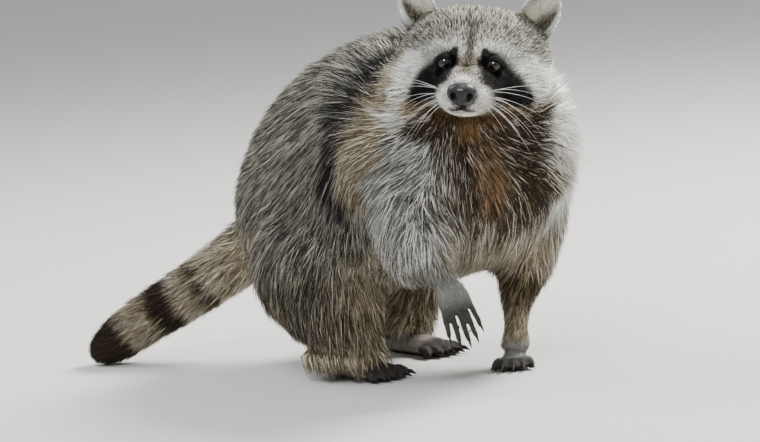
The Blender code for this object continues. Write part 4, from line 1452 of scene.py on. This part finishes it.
def nose_material():
    """Moist pebbled nose skin."""
    material, shader, nodes, links = material_of(
        "nose_skin", 0.42, Specular_IOR_Level=0.20, Coat_Weight=0.45, Coat_Roughness=0.22
    )
    varied(nodes, links, shader, settings().nose, 300.0, 0.5)
    pebbles = placed(nodes, grain(), Scale=1150.0)
    bumped(nodes, links, shader, pebbles.outputs["Height"], 0.00016)
    return material


def eye_material():
    """A wet dark eye: black pupil and a dark brown iris, darker still towards its rim."""
    if "wet_eye" in bpy.data.materials:
        return bpy.data.materials["wet_eye"]
    material, shader, nodes, links = material_of(
        "wet_eye", 0.06, Specular_IOR_Level=0.20, Coat_Weight=0.70, Coat_Roughness=0.02
    )
    reach = nodes.new("ShaderNodeMath")
    reach.operation = "DIVIDE"
    reach.inputs[1].default_value = math.pi
    links.new(carried(nodes, "gaze")["Fac"], reach.inputs[0])
    bands = nodes.new("ShaderNodeValToRGB")
    pupil, iris = (0.001, 0.001, 0.001), settings().iris
    stops = (
        (0.000, pupil),
        (0.110, pupil),
        (0.130, iris),
        (0.200, iris),
        (0.250, (0.004, 0.003, 0.002)),
        (0.550, (0.006, 0.005, 0.004)),
    )
    elements = bands.color_ramp.elements
    for index, (place, colour) in enumerate(stops):
        stop = elements[index] if index < 2 else elements.new(place)
        stop.position, stop.color = place, (*colour, 1.0)
    links.new(reach.outputs["Value"], bands.inputs["Fac"])
    varied(nodes, links, shader, bands.outputs["Color"], 900.0, 0.5)
    return material


def whisker_material():
    """Smooth white hair."""
    material, shader, nodes, links = material_of("whisker", 0.35)
    varied(nodes, links, shader, settings().white, 80.0, 0.25)
    return material


def horn_material():
    """Dark horn, uneven in colour and surface."""
    material, shader, nodes, links = material_of("horn", 0.60, Specular_IOR_Level=0.15)
    vary = varied(nodes, links, shader, settings().horn, 420.0, 0.8)
    bumped(nodes, links, shader, vary.outputs["Height"], 0.0002)
    return material


# ---------------------------------------------------------------- the stage


def make_stage():
    """A wide floor, three lights, an even studio round them, and the camera."""
    scene = bpy.context.scene
    bm = bmesh.new()
    bmesh.ops.create_grid(bm, x_segments=24, y_segments=24, size=FLOOR_HALF)
    floor = linked("floor", bm)
    material, _, _, _ = material_of("floor", 0.85, Base_Color=(*settings().floor, 1.0))
    floor.data.materials.append(material)
    for name, (place, size, power, colour) in LIGHTS.items():
        lamp = bpy.data.lights.new(name, "AREA")
        lamp.size, lamp.energy, lamp.color = size, power, colour
        light = bpy.data.objects.new(name, lamp)
        light.location = place
        light.rotation_euler = (AIM - Vector(place)).to_track_quat("-Z", "Y").to_euler()
        scene.collection.objects.link(light)
    world = bpy.data.worlds.new("studio")
    world.use_nodes = True
    studio = world.node_tree.nodes["Background"]
    studio.inputs["Color"].default_value = STUDIO_LIGHT
    studio.inputs["Strength"].default_value = STUDIO_STRENGTH
    scene.world = world
    lens = bpy.data.cameras.new("camera")
    lens.lens, lens.sensor_width, lens.dof.use_dof = LENS, SENSOR, False
    camera = bpy.data.objects.new("camera", lens)
    back = CAMERA_WAY.normalized()
    right = Vector((0.0, 0.0, 1.0)).cross(back).normalized()
    turn = Matrix((right, back.cross(right), back)).transposed().to_4x4()
    at = AIM + CAMERA_WAY * CAMERA_AWAY
    camera.matrix_world = Matrix.Translation(at) @ turn @ Matrix.Rotation(-CAMERA_ROLL, 4, "Z")
    scene.collection.objects.link(camera)
    scene.camera = camera


# ---------------------------------------------------------------- the add-on


def colour(name, description, value):
    return bpy.props.FloatVectorProperty(
        name=name, description=description, default=value, subtype="COLOR", size=3, min=0.0, max=1.0
    )


class RaccoonSettings(bpy.types.PropertyGroup):
    """Sizes and colours of the raccoon's looks."""

    coat_density: bpy.props.FloatProperty(
        name="Coat density",
        description="Share of the full number of tufts",
        default=1.0,
        min=0.1,
        max=1.2,
        subtype="FACTOR",
    )
    hair_length: bpy.props.FloatProperty(
        name="Hair length",
        description="Scales the length of all tufts",
        default=1.0,
        min=0.5,
        max=1.5,
        subtype="FACTOR",
    )
    black: colour("Black", "The mask, toes and lips", (0.0034, 0.0033, 0.0034))
    charcoal: colour("Charcoal", "Dark guard hairs and tail rings", (0.024, 0.022, 0.020))
    umber: colour("Umber", "Brown underfur", (0.088, 0.056, 0.027))
    slate: colour("Slate", "Grey hairs of the back", (0.165, 0.165, 0.150))
    rust: colour("Rust", "The chest and jowls", (0.270, 0.150, 0.062))
    tan: colour("Tan", "Tail rings and the band behind the neck", (0.440, 0.370, 0.225))
    ash: colour("Ash", "Pale tips of the guard hairs", (0.500, 0.495, 0.440))
    cream: colour("Cream", "Warm pale tips", (0.700, 0.650, 0.540))
    white: colour("White", "Brows, cheeks, muzzle and ear rims", (0.860, 0.860, 0.820))
    nose: colour("Nose", "The nose pad", (0.005, 0.005, 0.006))
    lip: colour("Lip", "The line of the mouth", (0.020, 0.013, 0.009))
    iris: colour("Iris", "The iris", (0.030, 0.023, 0.018))
    horn: colour("Horn", "The claws", (0.022, 0.019, 0.017))
    floor: colour("Floor", "The studio floor", (0.62, 0.61, 0.59))


class PieceOperator(bpy.types.Operator):
    """Makes one piece of the raccoon, or one group of like pieces."""

    bl_options = {"REGISTER", "UNDO"}
    make = None

    def execute(self, context):
        type(self).make()
        return {"FINISHED"}


class RACCOON_OT_skin(PieceOperator):
    """Make the one skin that stands for all solids of flesh"""

    bl_idname, bl_label = "raccoon.skin", "Skin"
    make = staticmethod(make_skin)


class RACCOON_OT_coat(PieceOperator):
    """Lay the coat over the skin in overlapping tufts"""

    bl_idname, bl_label = "raccoon.coat", "Coat"
    make = staticmethod(make_coats)


class RACCOON_OT_eyes(PieceOperator):
    """Make the two eyeballs"""

    bl_idname, bl_label = "raccoon.eyes", "Eyes"
    make = staticmethod(make_eyes)


class RACCOON_OT_lids(PieceOperator):
    """Make the lids round both eyes"""

    bl_idname, bl_label = "raccoon.lids", "Lids"
    make = staticmethod(make_lids)


class RACCOON_OT_nose(PieceOperator):
    """Make the nose pad"""

    bl_idname, bl_label = "raccoon.nose", "Nose"
    make = staticmethod(make_nose)


class RACCOON_OT_lips(PieceOperator):
    """Make the line of the closed mouth"""

    bl_idname, bl_label = "raccoon.lips", "Lips"
    make = staticmethod(make_lips)


class RACCOON_OT_whiskers(PieceOperator):
    """Make the whiskers"""

    bl_idname, bl_label = "raccoon.whiskers", "Whiskers"
    make = staticmethod(make_whiskers)


class RACCOON_OT_claws(PieceOperator):
    """Give the claws their horn finish"""

    bl_idname, bl_label = "raccoon.claws", "Claws"
    make = staticmethod(make_claws)


class RACCOON_OT_stage(PieceOperator):
    """Set the floor, lights and camera"""

    bl_idname, bl_label = "raccoon.stage", "Stage"
    make = staticmethod(make_stage)


OPERATORS = (
    RACCOON_OT_skin,
    RACCOON_OT_coat,
    RACCOON_OT_eyes,
    RACCOON_OT_lids,
    RACCOON_OT_nose,
    RACCOON_OT_lips,
    RACCOON_OT_whiskers,
    RACCOON_OT_claws,
    RACCOON_OT_stage,
)


class RACCOON_PT_looks(bpy.types.Panel):
    """Lists the raccoon's settings and pieces"""

    bl_label, bl_idname = "Raccoon looks", "RACCOON_PT_looks"
    bl_space_type, bl_region_type, bl_category = "VIEW_3D", "UI", "Raccoon"

    def draw(self, context):
        for name in RaccoonSettings.__annotations__:
            self.layout.prop(context.scene.raccoon, name)
        for operator in OPERATORS:
            self.layout.operator(operator.bl_idname)


CLASSES = (RaccoonSettings, *OPERATORS, RACCOON_PT_looks)


def register():
    for each in CLASSES:
        bpy.utils.register_class(each)
    bpy.types.Scene.raccoon = bpy.props.PointerProperty(type=RaccoonSettings)


def unregister():
    del bpy.types.Scene.raccoon
    for each in reversed(CLASSES):
        bpy.utils.unregister_class(each)


def main():
    register()
    for operator in OPERATORS:
        area, verb = operator.bl_idname.split(".")
        getattr(getattr(bpy.ops, area), verb)()


if __name__ == "__main__":
    main()
